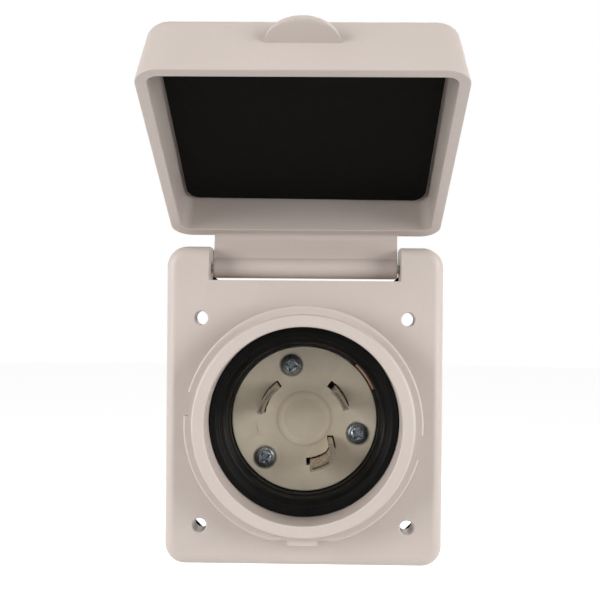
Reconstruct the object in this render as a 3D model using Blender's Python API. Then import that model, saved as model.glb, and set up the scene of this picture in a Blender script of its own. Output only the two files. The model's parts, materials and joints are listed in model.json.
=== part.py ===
"""A flanged 30 A power inlet box with a hinged weather lid, in metres, +Z up.

The origin is on the plug bore's axis, in the wall's surface at the back of the gasket. +Y runs
into the wall, so the plug side faces -Y. A depth is counted from the flange's front face into
the wall, so what stands proud of the flange has a negative depth. The lid is held open.
"""

import math

import bmesh
import bpy

MM = 0.001
GAP = 0.3 * MM

# Flange plate, cut out and drilled for a wall
PLATE_WIDTH = 89.3 * MM
PLATE_HEIGHT = 102.6 * MM
PLATE_TOP = 56.5 * MM
PLATE_DEPTH = 14.8 * MM
PLATE_CORNER = 6.5 * MM
PLATE_FILLET = 3.4 * MM
PLATE_FRONT_WALL = 3.2 * MM
PLATE_SKIRT = 2.8 * MM
PLATE_MIDDLE = PLATE_TOP - PLATE_HEIGHT / 2
MOUNT_HOLE_SPACING = 66.7 * MM
MOUNT_HOLE_RADIUS = 2.25 * MM
MOUNT_BOSS_RADIUS = 5.0 * MM
MOUNT_BOSS_END = 10.0 * MM
RIB_THICKNESS = 1.6 * MM
RIB_END = 9.0 * MM

GASKET_THICKNESS = 2.2 * MM
GASKET_BORDER = 4.9 * MM
GASKET_CORNER = 50.2 * MM

# Collar, bore and rear barrel
BORE_RADIUS = 30.95 * MM
COLLAR_FRONT = -12.0 * MM
COLLAR_LIP_RADIUS = 34.8 * MM
FLANGE_FRONT = -8.6 * MM
FLANGE_BACK = -4.8 * MM
FLANGE_RADIUS = 37.7 * MM
NECK_RADIUS = 35.6 * MM
FLANGE_FLAT_Z = -35.9 * MM
CATCH_TAB_WIDTH = 9.4 * MM
CATCH_TAB_Z = -37.7 * MM
BAYONET_NOTCH_ANGLES = (-10, 170)
BAYONET_NOTCH_WIDTH = 7.7 * MM
BAYONET_NOTCH_RADIUS = 36.1 * MM
BARREL_RADIUS = 33.5 * MM
BARREL_END = 18.0 * MM

# Hinge
HINGE_Z = 49.9 * MM
HINGE_DEPTH = 10.3 * MM
NOTCH_WIDTH = 62.0 * MM
NOTCH_BOTTOM = 45.65 * MM
KNUCKLE_WIDTH = 60.6 * MM
KNUCKLE_RADIUS = 3.4 * MM
PIN_RADIUS = 1.5 * MM
PIN_LENGTH = 77.0 * MM
PIN_CHEEK = 10.0 * MM
LEAF_BELOW_HINGE = 2.4 * MM
LEAF_THICKNESS = 1.9 * MM
LEAF_OVERLAP = 6.4 * MM
OPEN_ANGLE = 113.9

# Lid, measured shut, from its rim outwards
LID_WIDTH = 88.4 * MM
LID_LENGTH = 92.1 * MM
LID_RIM_GAP = 0.5 * MM
LID_HEIGHT = 17.6 * MM
LID_CEILING = 14.2 * MM
LID_WALL = 3.2 * MM
LID_HINGE_WALL = 4.2 * MM
LID_CORNER = 6.6 * MM
LID_FILLET = 3.0 * MM
LID_RIM_ROUNDING = 0.3 * MM
LID_DRAFT = (0.15, 0.06, 0.13)
LID_INNER_DRAFT = (0.05, 0.03, 0.03)
LID_TOP_BELOW_HINGE = 2.4 * MM
GRIP_ROOT = 8.9 * MM
GRIP_SIZE = (10.0 * MM, 6.0 * MM, 8.5 * MM)
GRIP_SLOPE = 25
PAD_SURFACE = 12.4 * MM
PAD_CORNER = 6.0 * MM
PAD_MARGIN = 1.0 * MM
SNAP_RIB_WIDTH = 12.0 * MM

# Plug end: rubber ring, insulators and blades
RING_FRONT = 3.1 * MM
RING_BACK = 16.5 * MM
RING_INNER_RADIUS = 24.4 * MM
RING_STEPS = ((28.6 * MM, 3.1 * MM), (28.2 * MM, 3.8 * MM), (27.5 * MM, 3.8 * MM),
              (26.4 * MM, 5.6 * MM), (25.7 * MM, 6.0 * MM), (25.1 * MM, 8.8 * MM),
              (24.6 * MM, 9.4 * MM))
FACE_DEPTH = 13.1 * MM
FACE_RADIUS = 24.1 * MM
FACE_RISE = 1.1 * MM
FACE_DISH = 0.3 * MM
FACE_MARK_RADIUS = 2.7 * MM
FACE_MARK_PLACE = (18.5 * MM, 192)
INSULATOR_FLANGE_RADIUS = 30.6 * MM
INSULATOR_JOINT = 19.4 * MM
INSULATOR_BACK = 37.0 * MM
REAR_INSULATOR_RADIUS = 28.2 * MM
BLADE_INNER = 13.4 * MM
BLADE_OUTER = 15.2 * MM
BLADE_LENGTH = 18.5 * MM
FACE_SLOT_MARGIN = 0.45 * MM
BLADE_ANGLES = {"neutral": (127, 167), "hot": (19, 48.5), "ground": (-81, -53)}
FACE_SLOT_ANGLES = {"neutral": (125.5, 172), "hot": (17, 55), "ground": (-87, -51)}
GROUND_LEG = ((10.2 * MM, -9.3 * MM), (9.3 * MM, -5.9 * MM), (7.9 * MM, -5.9 * MM),
              (8.5 * MM, -9.3 * MM))
GROUND_INNER_STOP = -56
FACE_SCREW_ANGLES = (104, -15, 225)
FACE_SCREW_RADIUS = 18.4 * MM
FACE_SEAT_DEPTH = 13.8 * MM
FACE_SEAT_RADIUS = 4.0 * MM
STRIP_ANGLES = (23.6, 46.6)
STRIP_INNER = 24.5 * MM
STRIP_THICKNESS = 0.8 * MM
STRIP_FRONT = 12.6 * MM
STRIP_BACK = 29.5 * MM
STRIP_POCKET = 7.5 * MM

# Wire terminals
TERMINAL_ANGLES = {"neutral": 147, "hot": 33.75, "ground": -67}
TERMINAL_RADIUS = 20.3 * MM
TERMINAL_PLATE = 1.5 * MM
TERMINAL_WIDTH = 9.6 * MM
TERMINAL_HOLE = 2.0 * MM
CLAMP_PLATE = 1.6 * MM
CLAMP_GROOVE_OFFSET = 3.1 * MM
CLAMP_GROOVE_DEPTH = 0.4 * MM
SEPARATOR_HEIGHT = 7.0 * MM

# Rear housing and cord clamp
HOUSING_FRONT = 20.0 * MM
HOUSING_INNER = 28.8 * MM
HOUSING_OUTER = 31.6 * MM
HOUSING_BACK = 62.6 * MM
HOUSING_SCREW_ANGLES = (90, 210, 330)
HOUSING_SCREW_RADIUS = 36.2 * MM
HOUSING_EAR_RADIUS = 3.4 * MM
HOUSING_EAR_THICKNESS = 3.4 * MM
HOUSING_SLOPE = 16.0 * MM
SCREW_SHANK = 1.5 * MM
SCREW_HOLE = SCREW_SHANK + GAP
LOOSE_SCREW_HOLE = 1.9 * MM
NECK_OUTER = 13.2 * MM
NECK_INNER = 10.2 * MM
NECK_END = 70.0 * MM
SADDLE_START = 69.0 * MM
SADDLE_END = 84.0 * MM
SADDLE_CHANNEL = 8.0 * MM
SADDLE_OUTER = 11.0 * MM
SADDLE_HALF_WIDTH = 19.0 * MM
SADDLE_EAR = 3.6 * MM
SADDLE_SPLIT = 0.8 * MM
SADDLE_BOSS_RADIUS = 4.0 * MM
CLAMP_SCREW_X = 14.6 * MM

LARGE_ROUND = 64
MIDDLE_ROUND = 48
SMALL_ROUND = 24
FINE_ROUND = 14


def y_at(depth):
    """The Y of a depth counted from the flange's front face."""
    return depth - PLATE_DEPTH - GASKET_THICKNESS


def polar(radius, angle):
    """(x, z) at an angle in degrees, anticlockwise from +X as seen from the plug side."""
    return radius * math.cos(math.radians(angle)), radius * math.sin(math.radians(angle))


def arc(radius, start, stop, steps, centre=(0, 0)):
    points = []
    for i in range(steps + 1):
        x, z = polar(radius, start + (stop - start) * i / steps)
        points.append((x + centre[0], z + centre[1]))
    return points


def rounded_rectangle(width, height, radius, middle=(0, 0), steps=6):
    outline = []
    corners = ((1, 1, 0), (-1, 1, 90), (-1, -1, 180), (1, -1, 270))
    for side, end, angle in corners:
        x = middle[0] + side * (width / 2 - radius)
        z = middle[1] + end * (height / 2 - radius)
        outline += arc(radius, angle, angle + 90, steps, (x, z))
    return outline


def circle(radius, centre=(0, 0), steps=FINE_ROUND):
    return arc(radius, 0, 360, steps, centre)[:-1]


def band(inner, outer, start, stop, steps=10):
    """The outline of a curved strip between two radii and two angles."""
    return arc(outer, start, stop, steps) + arc(inner, stop, start, steps)


def make_material(name, colour, roughness, metallic):
    material = bpy.data.materials.new(name)
    material.use_nodes = True
    shader = material.node_tree.nodes["Principled BSDF"]
    shader.inputs["Base Color"].default_value = (*colour, 1)
    shader.inputs["Roughness"].default_value = roughness
    shader.inputs["Metallic"].default_value = metallic
    material.diffuse_color = (*colour, 1)
    return material


def finish(name, mesh, material=None, parent=None):
    """Turn a bmesh into an object whose faces point outwards, shaded smooth."""
    bmesh.ops.recalc_face_normals(mesh, faces=mesh.faces)
    data = bpy.data.meshes.new(name)
    mesh.to_mesh(data)
    mesh.free()
    data.shade_smooth()
    data.set_sharp_from_angle(angle=math.radians(32))
    if material:
        data.materials.append(material)
    piece = bpy.data.objects.new(name, data)
    bpy.context.scene.collection.objects.link(piece)
    piece.parent = parent
    return piece


def loft(name, loops, material=None, parent=None):
    """A solid through loops of as many points each, closed by a flat face at both ends."""
    mesh = bmesh.new()
    rows = [[mesh.verts.new(point) for point in loop] for loop in loops]
    for first, second in zip(rows, rows[1:]):
        for i in range(len(first)):
            j = (i + 1) % len(first)
            mesh.faces.new((first[i], first[j], second[j], second[i]))
    mesh.faces.new(rows[0])
    mesh.faces.new(rows[-1])
    return finish(name, mesh, material, parent)


def prism(name, outline, start, stop, material=None, parent=None):
    """An outline of (x, z) points, extruded between two values of Y."""
    loops = [[(x, y, z) for x, z in outline] for y in (start, stop)]
    return loft(name, loops, material, parent)


def side_prism(name, outline, half_width, material=None, parent=None):
    """An outline of (y, z) points, extruded to half_width on both sides of X = 0."""
    loops = [[(x, y, z) for y, z in outline] for x in (-half_width, half_width)]
    return loft(name, loops, material, parent)


def turned(name, profile, material=None, steps=LARGE_ROUND, centre=(0, 0), parent=None):
    """A profile of (radius, y) points, turned about the line along Y through centre."""
    mesh = bmesh.new()
    points = [mesh.verts.new((radius, y, 0)) for radius, y in profile]
    edges = [mesh.edges.new(pair) for pair in zip(points, points[1:])]
    if profile[0][0] > 0:
        edges.append(mesh.edges.new((points[-1], points[0])))
    bmesh.ops.spin(
        mesh, geom=points + edges, axis=(0, 1, 0), cent=(0, 0, 0), dvec=(0, 0, 0),
        angle=2 * math.pi, steps=steps, use_merge=True,
    )
    bmesh.ops.remove_doubles(mesh, verts=mesh.verts, dist=1e-6)
    piece = finish(name, mesh, material, parent)
    piece.location = (centre[0], 0, centre[1])
    return piece


def add_boolean(target, tool, operation):
    modifier = target.modifiers.new(tool.name, "BOOLEAN")
    modifier.operation = operation
    modifier.object = tool
    tool.hide_render = True
    tool.display_type = "WIRE"


def cut(target, *tools):
    for tool in tools:
        add_boolean(target, tool, "DIFFERENCE")


def join(target, *tools):
    for tool in tools:
        add_boolean(target, tool, "UNION")


def settle(piece):
    """Make a piece's Booleans permanent and remove their tools, so that copies can share it."""
    tools = [modifier.object for modifier in piece.modifiers if modifier.type == "BOOLEAN"]
    bpy.context.view_layer.update()
    graph = bpy.context.evaluated_depsgraph_get()
    mesh = bpy.data.meshes.new_from_object(piece.evaluated_get(graph))
    mesh.set_sharp_from_angle(angle=math.radians(32))
    piece.modifiers.clear()
    piece.data = mesh
    for tool in tools:
        bpy.data.objects.remove(tool)


def block(name, low, high, parent=None):
    outline = [(low[0], low[2]), (high[0], low[2]), (high[0], high[2]), (low[0], high[2])]
    return prism(name, outline, low[1], high[1], parent=parent)


def turn_about_bore(piece, angle):
    """Turn a piece modelled along +X to an angle, anticlockwise from the plug side."""
    piece.rotation_euler = (0, -math.radians(angle), 0)


def plate_shell(material):
    """The flange: a shallow tray that opens backwards, with its front edge rounded over."""

    def outline(inset, depth):
        width = PLATE_WIDTH - 2 * inset
        height = PLATE_HEIGHT - 2 * inset
        points = rounded_rectangle(width, height, PLATE_CORNER - inset, (0, PLATE_MIDDLE))
        return [(x, y_at(depth), z) for x, z in points]

    loops = [outline(PLATE_SKIRT, PLATE_FRONT_WALL), outline(PLATE_SKIRT, PLATE_DEPTH)]
    loops.append(outline(0, PLATE_DEPTH))
    for i in range(5):
        angle = math.radians(90 * i / 4)
        inset = PLATE_FILLET * (1 - math.cos(angle))
        depth = PLATE_FILLET * (1 - math.sin(angle))
        loops.append(outline(inset, depth))
    return loft("face_plate", loops, material)


def collar():
    """The plug collar with its bayonet flange, and the barrel behind the plate."""
    outer = [
        (BORE_RADIUS, COLLAR_FRONT + 0.5 * MM),
        (BORE_RADIUS + 0.5 * MM, COLLAR_FRONT),
        (COLLAR_LIP_RADIUS - 0.6 * MM, COLLAR_FRONT),
        (COLLAR_LIP_RADIUS, COLLAR_FRONT + 0.6 * MM),
        (COLLAR_LIP_RADIUS, FLANGE_FRONT),
        (FLANGE_RADIUS - 0.5 * MM, FLANGE_FRONT),
        (FLANGE_RADIUS, FLANGE_FRONT + 0.5 * MM),
        (FLANGE_RADIUS, FLANGE_BACK),
        (NECK_RADIUS, FLANGE_BACK),
        (NECK_RADIUS, PLATE_FRONT_WALL / 2),
        (BARREL_RADIUS, PLATE_FRONT_WALL / 2),
        (BARREL_RADIUS, BARREL_END),
        (BORE_RADIUS, BARREL_END),
    ]
    return turned("collar", [(radius, y_at(depth)) for radius, depth in outer])


def collar_details():
    """What is cut from the collar's flange, and the lid's catch tab below it."""
    reach = FLANGE_RADIUS + 2 * MM
    front, back = y_at(FLANGE_FRONT - 0.5 * MM), y_at(FLANGE_BACK + 0.5 * MM)
    cuts = []
    for angle in BAYONET_NOTCH_ANGLES:
        low = (BAYONET_NOTCH_RADIUS, front, -BAYONET_NOTCH_WIDTH / 2)
        notch = block(f"cut_bayonet_{angle}", low, (reach, back, BAYONET_NOTCH_WIDTH / 2))
        turn_about_bore(notch, angle)
        cuts.append(notch)
    cuts.append(block("cut_flat", (-reach, front, -reach), (reach, back, FLANGE_FLAT_Z)))
    half = CATCH_TAB_WIDTH / 2
    tab = block(
        "catch_tab", (-half, y_at(FLANGE_FRONT + GAP), CATCH_TAB_Z),
        (half, y_at(FLANGE_BACK - GAP), FLANGE_FLAT_Z + 1 * MM),
    )
    return cuts, tab


def plate_bosses():
    """Tubes round the mounting holes, ribs to the barrel, and bosses for the housing's screws."""
    start = y_at(PLATE_FRONT_WALL / 2)
    reach = MOUNT_HOLE_SPACING / 2
    bosses = []
    for side in (-1, 1):
        for end in (-1, 1):
            outline = circle(MOUNT_BOSS_RADIUS, (side * reach, end * reach), SMALL_ROUND)
            name = f"mount_boss_{side}_{end}"
            bosses.append(prism(name, outline, start, y_at(MOUNT_BOSS_END)))
    barrel = BARREL_RADIUS - 1 * MM
    boss_edge = math.hypot(reach, reach) - MOUNT_BOSS_RADIUS + 1 * MM
    skirt = PLATE_WIDTH / 2 - PLATE_SKIRT / 2
    rib_ends = {0: skirt, 180: skirt, 270: PLATE_HEIGHT - PLATE_TOP - PLATE_SKIRT / 2}
    rib_ends.update({angle: boss_edge for angle in (45, 135, 225, 315)})
    for angle, end in rib_ends.items():
        half = RIB_THICKNESS / 2
        rib = block(f"rib_{angle}", (barrel, start, -half), (end, y_at(RIB_END), half))
        turn_about_bore(rib, angle)
        bosses.append(rib)
    for angle in HOUSING_SCREW_ANGLES:
        outline = circle(HOUSING_EAR_RADIUS, polar(HOUSING_SCREW_RADIUS, angle))
        bosses.append(prism(f"housing_boss_{angle}", outline, start, y_at(BARREL_END)))
    return bosses


def hinge_seat():
    """The thick stretch of plate that carries the hinge pin in two cheeks."""
    half = NOTCH_WIDTH / 2 + PIN_CHEEK
    bottom = NOTCH_BOTTOM - 2.4 * MM
    top = PLATE_TOP - PLATE_SKIRT / 2
    start = y_at(PLATE_FRONT_WALL / 2)
    return block("hinge_seat", (-half, start, bottom), (half, y_at(PLATE_DEPTH), top))


def pin_hole(name, half_length, radius, parent=None):
    """A cutter along X through the hinge axis, or through its parent's origin."""
    hole = turned(name, [(0, half_length), (radius, half_length), (radius, -half_length),
                         (0, -half_length)], steps=SMALL_ROUND, parent=parent)
    hole.rotation_euler = (0, 0, math.pi / 2)
    if not parent:
        hole.location = (0, y_at(HINGE_DEPTH), HINGE_Z)
    return hole


def round_hole(name, centre, radius, start, stop, steps=FINE_ROUND):
    return prism(name, circle(radius, centre, steps), y_at(start), y_at(stop))


def face_plate(material):
    plate = plate_shell(material)
    bore = round_hole("cut_bore", (0, 0), BORE_RADIUS + 1 * MM, -1 * MM, 8 * MM, LARGE_ROUND)
    cut(plate, bore)
    join(plate, collar(), *plate_bosses(), hinge_seat())
    cuts, tab = collar_details()
    half = NOTCH_WIDTH / 2
    cuts.append(block("cut_notch", (-half, y_at(-1 * MM), NOTCH_BOTTOM),
                      (half, y_at(PLATE_DEPTH + 1 * MM), PLATE_TOP + 5 * MM)))
    cuts.append(pin_hole("cut_pin", PIN_LENGTH / 2 + GAP, PIN_RADIUS + GAP))
    reach = MOUNT_HOLE_SPACING / 2
    for side in (-1, 1):
        for end in (-1, 1):
            centre = (side * reach, end * reach)
            cuts.append(round_hole(f"cut_mount_{side}_{end}", centre, MOUNT_HOLE_RADIUS,
                                   -1 * MM, PLATE_DEPTH + 1 * MM, SMALL_ROUND))
    for angle in HOUSING_SCREW_ANGLES:
        centre = polar(HOUSING_SCREW_RADIUS, angle)
        cuts.append(round_hole(f"cut_housing_screw_{angle}", centre, SCREW_HOLE, 6 * MM,
                               BARREL_END + 1 * MM))
    cut(plate, *cuts)
    join(plate, tab)
    settle(plate)
    return plate


def mounting_gasket(material):
    """The foam frame between flange and wall. It runs round the notch and outside the holes."""
    inset = 0.5 * MM
    margin = 1 * MM
    start = y_at(PLATE_DEPTH)
    outline = rounded_rectangle(PLATE_WIDTH - 2 * inset, PLATE_HEIGHT - 2 * inset,
                                PLATE_CORNER - inset, (0, PLATE_MIDDLE))
    frame = prism("mounting_gasket", outline, start + GAP, 0, material)
    side = PLATE_WIDTH / 2 - GASKET_BORDER
    top = NOTCH_BOTTOM - GASKET_BORDER
    bottom = PLATE_TOP - PLATE_HEIGHT + GASKET_BORDER
    diagonal = GASKET_CORNER * math.sqrt(2)
    opening = [(side, diagonal - side), (diagonal - top, top), (top - diagonal, top),
               (-side, diagonal - side), (-side, side - diagonal), (-bottom - diagonal, bottom),
               (diagonal + bottom, bottom), (side, side - diagonal)]
    half = NOTCH_WIDTH / 2
    chamfer = 1.8 * MM
    above = PLATE_TOP + margin
    notch = [(half, above), (-half, above), (-half, NOTCH_BOTTOM + chamfer),
             (chamfer - half, NOTCH_BOTTOM), (half - chamfer, NOTCH_BOTTOM),
             (half, NOTCH_BOTTOM + chamfer)]
    cut(frame, prism("cut_opening", opening, start - margin, margin),
        prism("cut_gasket_notch", notch, start - margin, margin))
    settle(frame)
    return frame


def hinge_pin(material):
    half = PIN_LENGTH / 2
    tip = 0.4 * MM
    profile = [(0, half), (PIN_RADIUS - tip, half), (PIN_RADIUS, half - tip),
               (PIN_RADIUS, tip - half), (PIN_RADIUS - tip, -half), (0, -half)]
    pin = turned("hinge_pin", profile, material, steps=SMALL_ROUND)
    pin.rotation_euler = (0, 0, math.pi / 2)
    pin.location = (0, y_at(HINGE_DEPTH), HINGE_Z)
    return pin


def lid_outline(inset, height, draft=LID_DRAFT, top_inset=None, corner=None):
    """The lid's outline in the hinge's frame, shut, at a height outwards from the rim.

    A draft is how fast the sides, the lower end and the hinge end lean in with height.
    """
    side = inset + draft[0] * height
    end = inset + draft[1] * height
    top = (inset if top_inset is None else top_inset) + draft[2] * height
    length = LID_LENGTH - top - end
    middle = -LID_TOP_BELOW_HINGE - top - length / 2
    corner = corner or LID_CORNER - inset
    points = rounded_rectangle(LID_WIDTH - 2 * side, length, corner, (0, middle))
    y = -HINGE_DEPTH - LID_RIM_GAP - height
    return [(x, y, z) for x, z in points]


def lid_hollow(inset, height, corner=None):
    """The outline of the lid's inside, whose wall is thicker along the hinge."""
    top_inset = LID_HINGE_WALL - LID_WALL + inset
    return lid_outline(inset, height, LID_INNER_DRAFT, top_inset, corner)


def lid_grip(pivot):
    """The finger lip: part of a dome, sloped underneath, that stands out of the lid's end."""
    mesh = bmesh.new()
    bmesh.ops.create_uvsphere(mesh, u_segments=32, v_segments=16, radius=1)
    root = 1.2 * MM / GRIP_SIZE[2]
    slope = math.radians(GRIP_SLOPE)
    under = (0, math.cos(slope) * GRIP_SIZE[1], -math.sin(slope) * GRIP_SIZE[2])
    for point, normal in (((0, 0, 0), under), ((0, 0, root), (0, 0, 1))):
        geometry = mesh.verts[:] + mesh.edges[:] + mesh.faces[:]
        bmesh.ops.bisect_plane(mesh, geom=geometry, dist=1e-5, plane_co=point,
                               plane_no=normal, clear_outer=True)
        bmesh.ops.holes_fill(mesh, edges=[edge for edge in mesh.edges if edge.is_boundary])
    for vert in mesh.verts:
        vert.co = [axis * size for axis, size in zip(vert.co, GRIP_SIZE)]
    grip = finish("grip", mesh, parent=pivot)
    y = -HINGE_DEPTH - LID_RIM_GAP - GRIP_ROOT
    grip.location = (0, y, -LID_TOP_BELOW_HINGE - LID_LENGTH + LID_DRAFT[1] * GRIP_ROOT)
    return grip


def lid_leaf(pivot):
    """The hinge leaf, from the knuckle along the outside of the lid's upper wall."""
    near = -LEAF_BELOW_HINGE + 0.05 * MM
    far = -LEAF_BELOW_HINGE + LEAF_THICKNESS
    rim = -HINGE_DEPTH - LID_RIM_GAP
    fillet = 1.8 * MM
    inside = -LID_TOP_BELOW_HINGE - LID_HINGE_WALL / 2
    ramp = rim - LEAF_OVERLAP - 2 * MM
    outline = [(0, near), (rim + fillet, near), (rim + 0.3 * fillet, near - 0.15 * fillet),
               (rim, near - 0.3 * fillet), (rim, inside), (ramp, inside),
               (ramp, -LID_TOP_BELOW_HINGE - 0.5 * MM), (rim - LEAF_OVERLAP, far), (0, far)]
    return side_prism("leaf", outline, KNUCKLE_WIDTH / 2, parent=pivot)


def lid_knuckle(pivot):
    half = KNUCKLE_WIDTH / 2
    profile = [(0, half), (KNUCKLE_RADIUS, half), (KNUCKLE_RADIUS, -half), (0, -half)]
    knuckle = turned("knuckle", profile, steps=32, parent=pivot)
    knuckle.rotation_euler = (0, 0, math.pi / 2)
    return knuckle


def snap_rib(pivot):
    """A low rib inside the lid's lower end, which comes to rest under the catch tab."""
    end = -LID_TOP_BELOW_HINGE - LID_LENGTH + LID_WALL
    half = SNAP_RIB_WIDTH / 2
    start = HINGE_DEPTH + LID_RIM_GAP
    top = CATCH_TAB_Z - HINGE_Z - 2 * GAP
    outline = [(-start - 2.5 * MM, end - 1 * MM), (-start - 2.5 * MM, end),
               (-start - 4 * MM, top), (-start - 5.5 * MM, top), (-start - 8 * MM, end),
               (-start - 8 * MM, end - 1 * MM)]
    return side_prism("snap_rib", outline, half, parent=pivot)


def lid(pivot, material):
    """The weather lid: a deep tray with a rounded roof, modelled shut below its hinge."""
    edge = LID_RIM_ROUNDING
    loops = [lid_hollow(LID_WALL, LID_CEILING), lid_hollow(LID_WALL, edge),
             lid_hollow(LID_WALL - edge, 0), lid_outline(edge, 0), lid_outline(0, edge)]
    for i in range(5):
        angle = math.radians(90 * i / 4)
        inset = LID_FILLET * (1 - math.cos(angle))
        loops.append(lid_outline(inset, LID_HEIGHT - LID_FILLET * (1 - math.sin(angle))))
    shell = loft("lid", loops, material, pivot)
    join(shell, lid_knuckle(pivot), lid_leaf(pivot), lid_grip(pivot), snap_rib(pivot))
    cut(shell, pin_hole("cut_knuckle", KNUCKLE_WIDTH, PIN_RADIUS + GAP, pivot))
    settle(shell)
    return shell


def lid_pad(pivot, material):
    """The foam pad on the inside of the lid's roof, which seals on the collar."""
    loops = [lid_hollow(LID_WALL + PAD_MARGIN, height, PAD_CORNER)
             for height in (PAD_SURFACE, LID_CEILING - GAP)]
    return loft("lid_pad", loops, material, pivot)


def sealing_ring(material):
    """The stepped rubber ring between the bore and the insulator's face."""
    outer = BORE_RADIUS - GAP
    profile = [(outer, RING_BACK), (outer, RING_FRONT), *RING_STEPS,
               (RING_INNER_RADIUS, 12 * MM), (RING_INNER_RADIUS, RING_BACK)]
    profile = [(radius, y_at(depth)) for radius, depth in profile]
    ring = turned("sealing_ring", profile, material, MIDDLE_ROUND)
    start, stop = STRIP_ANGLES
    pocket = band(FACE_RADIUS - 1 * MM, STRIP_INNER + STRIP_THICKNESS + GAP, start - 1, stop + 1)
    cut(ring, prism("cut_strip_pocket", pocket, y_at(STRIP_POCKET), y_at(RING_BACK + 1 * MM)))
    settle(ring)
    return ring


def ground_outline(inner, outer, start, stop, margin):
    """The grounding blade's outline: a curved strip with a leg that leans in at its right end."""
    low_right, high_right, high_left, low_left = GROUND_LEG
    leg = [(low_right[0] + margin, low_right[1]), (high_right[0] + margin, high_right[1] + margin),
           (high_left[0] - margin, high_left[1] + margin), (low_left[0] - margin, low_left[1])]
    return arc(outer, start, stop, 10) + leg + arc(inner, GROUND_INNER_STOP, start, 8)


def blade_outline(name, margin=0):
    """A blade's section across its length, or its slot when a margin is given."""
    spread = math.degrees(margin / BLADE_INNER)
    start, stop = BLADE_ANGLES[name]
    inner, outer = BLADE_INNER - margin, BLADE_OUTER + margin
    if name != "ground":
        return band(inner, outer, start - spread, stop + spread)
    return ground_outline(inner, outer, start - spread, stop + spread, margin)


def face_slot_outline(name):
    """The slot in the face, longer than its blade by the width of the blade's hooked tip."""
    start, stop = FACE_SLOT_ANGLES[name]
    inner, outer = BLADE_INNER - FACE_SLOT_MARGIN, BLADE_OUTER + FACE_SLOT_MARGIN
    if name != "ground":
        return band(inner, outer, start, stop)
    return ground_outline(inner, outer, start, stop, FACE_SLOT_MARGIN)


def front_insulator(material):
    """The nylon face: a disc on a wider flange, with a raised ring round its middle."""
    face, back = y_at(FACE_DEPTH), y_at(INSULATOR_JOINT)
    shoulder = y_at(RING_BACK + GAP)
    ring = face - FACE_RISE
    profile = [
        (0, ring + FACE_DISH), (6.9 * MM, ring + FACE_DISH), (7.2 * MM, ring),
        (8.5 * MM, ring), (9.2 * MM, face), (FACE_RADIUS - 0.4 * MM, face),
        (FACE_RADIUS, face + 0.4 * MM), (FACE_RADIUS, shoulder),
        (INSULATOR_FLANGE_RADIUS, shoulder), (INSULATOR_FLANGE_RADIUS, back), (0, back),
    ]
    disc = turned("front_insulator", profile, material, MIDDLE_ROUND)
    for name in BLADE_ANGLES:
        cut(disc, prism(f"cut_face_{name}", face_slot_outline(name), face - 3 * MM, back + 1 * MM))
    for angle in FACE_SCREW_ANGLES:
        centre = polar(FACE_SCREW_RADIUS, angle)
        cut(disc, round_hole(f"cut_face_screw_{angle}", centre, SCREW_HOLE, 10 * MM, 22 * MM),
            round_hole(f"cut_face_seat_{angle}", centre, FACE_SEAT_RADIUS, 10 * MM,
                       FACE_SEAT_DEPTH))
    cut(disc, round_hole("cut_mark", polar(*FACE_MARK_PLACE), FACE_MARK_RADIUS, 10 * MM,
                         FACE_DEPTH + 0.2 * MM))
    cut(disc, strip_slot("cut_strip_front"))
    settle(disc)
    return disc


def strip_slot(name):
    start, stop = STRIP_ANGLES
    slot = band(STRIP_INNER - GAP, STRIP_INNER + STRIP_THICKNESS + GAP, start - 1, stop + 1)
    return prism(name, slot, y_at(RING_BACK), y_at(STRIP_BACK + 0.5 * MM))


def contact_strip(material):
    """The copper bonding strip that lies along the insulator's upper right side."""
    outline = band(STRIP_INNER, STRIP_INNER + STRIP_THICKNESS, *STRIP_ANGLES)
    return prism("contact_strip", outline, y_at(STRIP_FRONT), y_at(STRIP_BACK), material)


def rear_insulator(material):
    """The block that carries the terminals, with walls between the three wires."""
    front, back = y_at(INSULATOR_JOINT + GAP), y_at(INSULATOR_BACK)
    radius = REAR_INSULATOR_RADIUS
    chamfer = 0.6 * MM
    profile = [(0, front), (radius, front), (radius, back - chamfer), (radius - chamfer, back),
               (0, back)]
    disc = turned("rear_insulator", profile, material, MIDDLE_ROUND)
    wall_end = back + SEPARATOR_HEIGHT
    join(disc, prism("hub", circle(4 * MM), back - 1 * MM, wall_end))
    for angle in FACE_SCREW_ANGLES:
        wall = block(f"wall_{angle}", (2 * MM, back - 1 * MM, -1 * MM),
                     (radius - 1 * MM, wall_end, 1 * MM))
        turn_about_bore(wall, angle)
        join(disc, wall)
    for name in BLADE_ANGLES:
        outline = blade_outline(name, GAP)
        cut(disc, prism(f"cut_rear_{name}", outline, front - 1 * MM, back + 1 * MM))
        centre = polar(TERMINAL_RADIUS, TERMINAL_ANGLES[name])
        cut(disc, round_hole(f"cut_terminal_{name}", centre, TERMINAL_HOLE, 28 * MM, 40 * MM))
    for angle in FACE_SCREW_ANGLES:
        centre = polar(FACE_SCREW_RADIUS, angle)
        cut(disc, round_hole(f"cut_rear_screw_{angle}", centre, SCREW_HOLE, 19 * MM, 32 * MM))
    cut(disc, strip_slot("cut_strip_rear"))
    settle(disc)
    return disc


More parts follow.
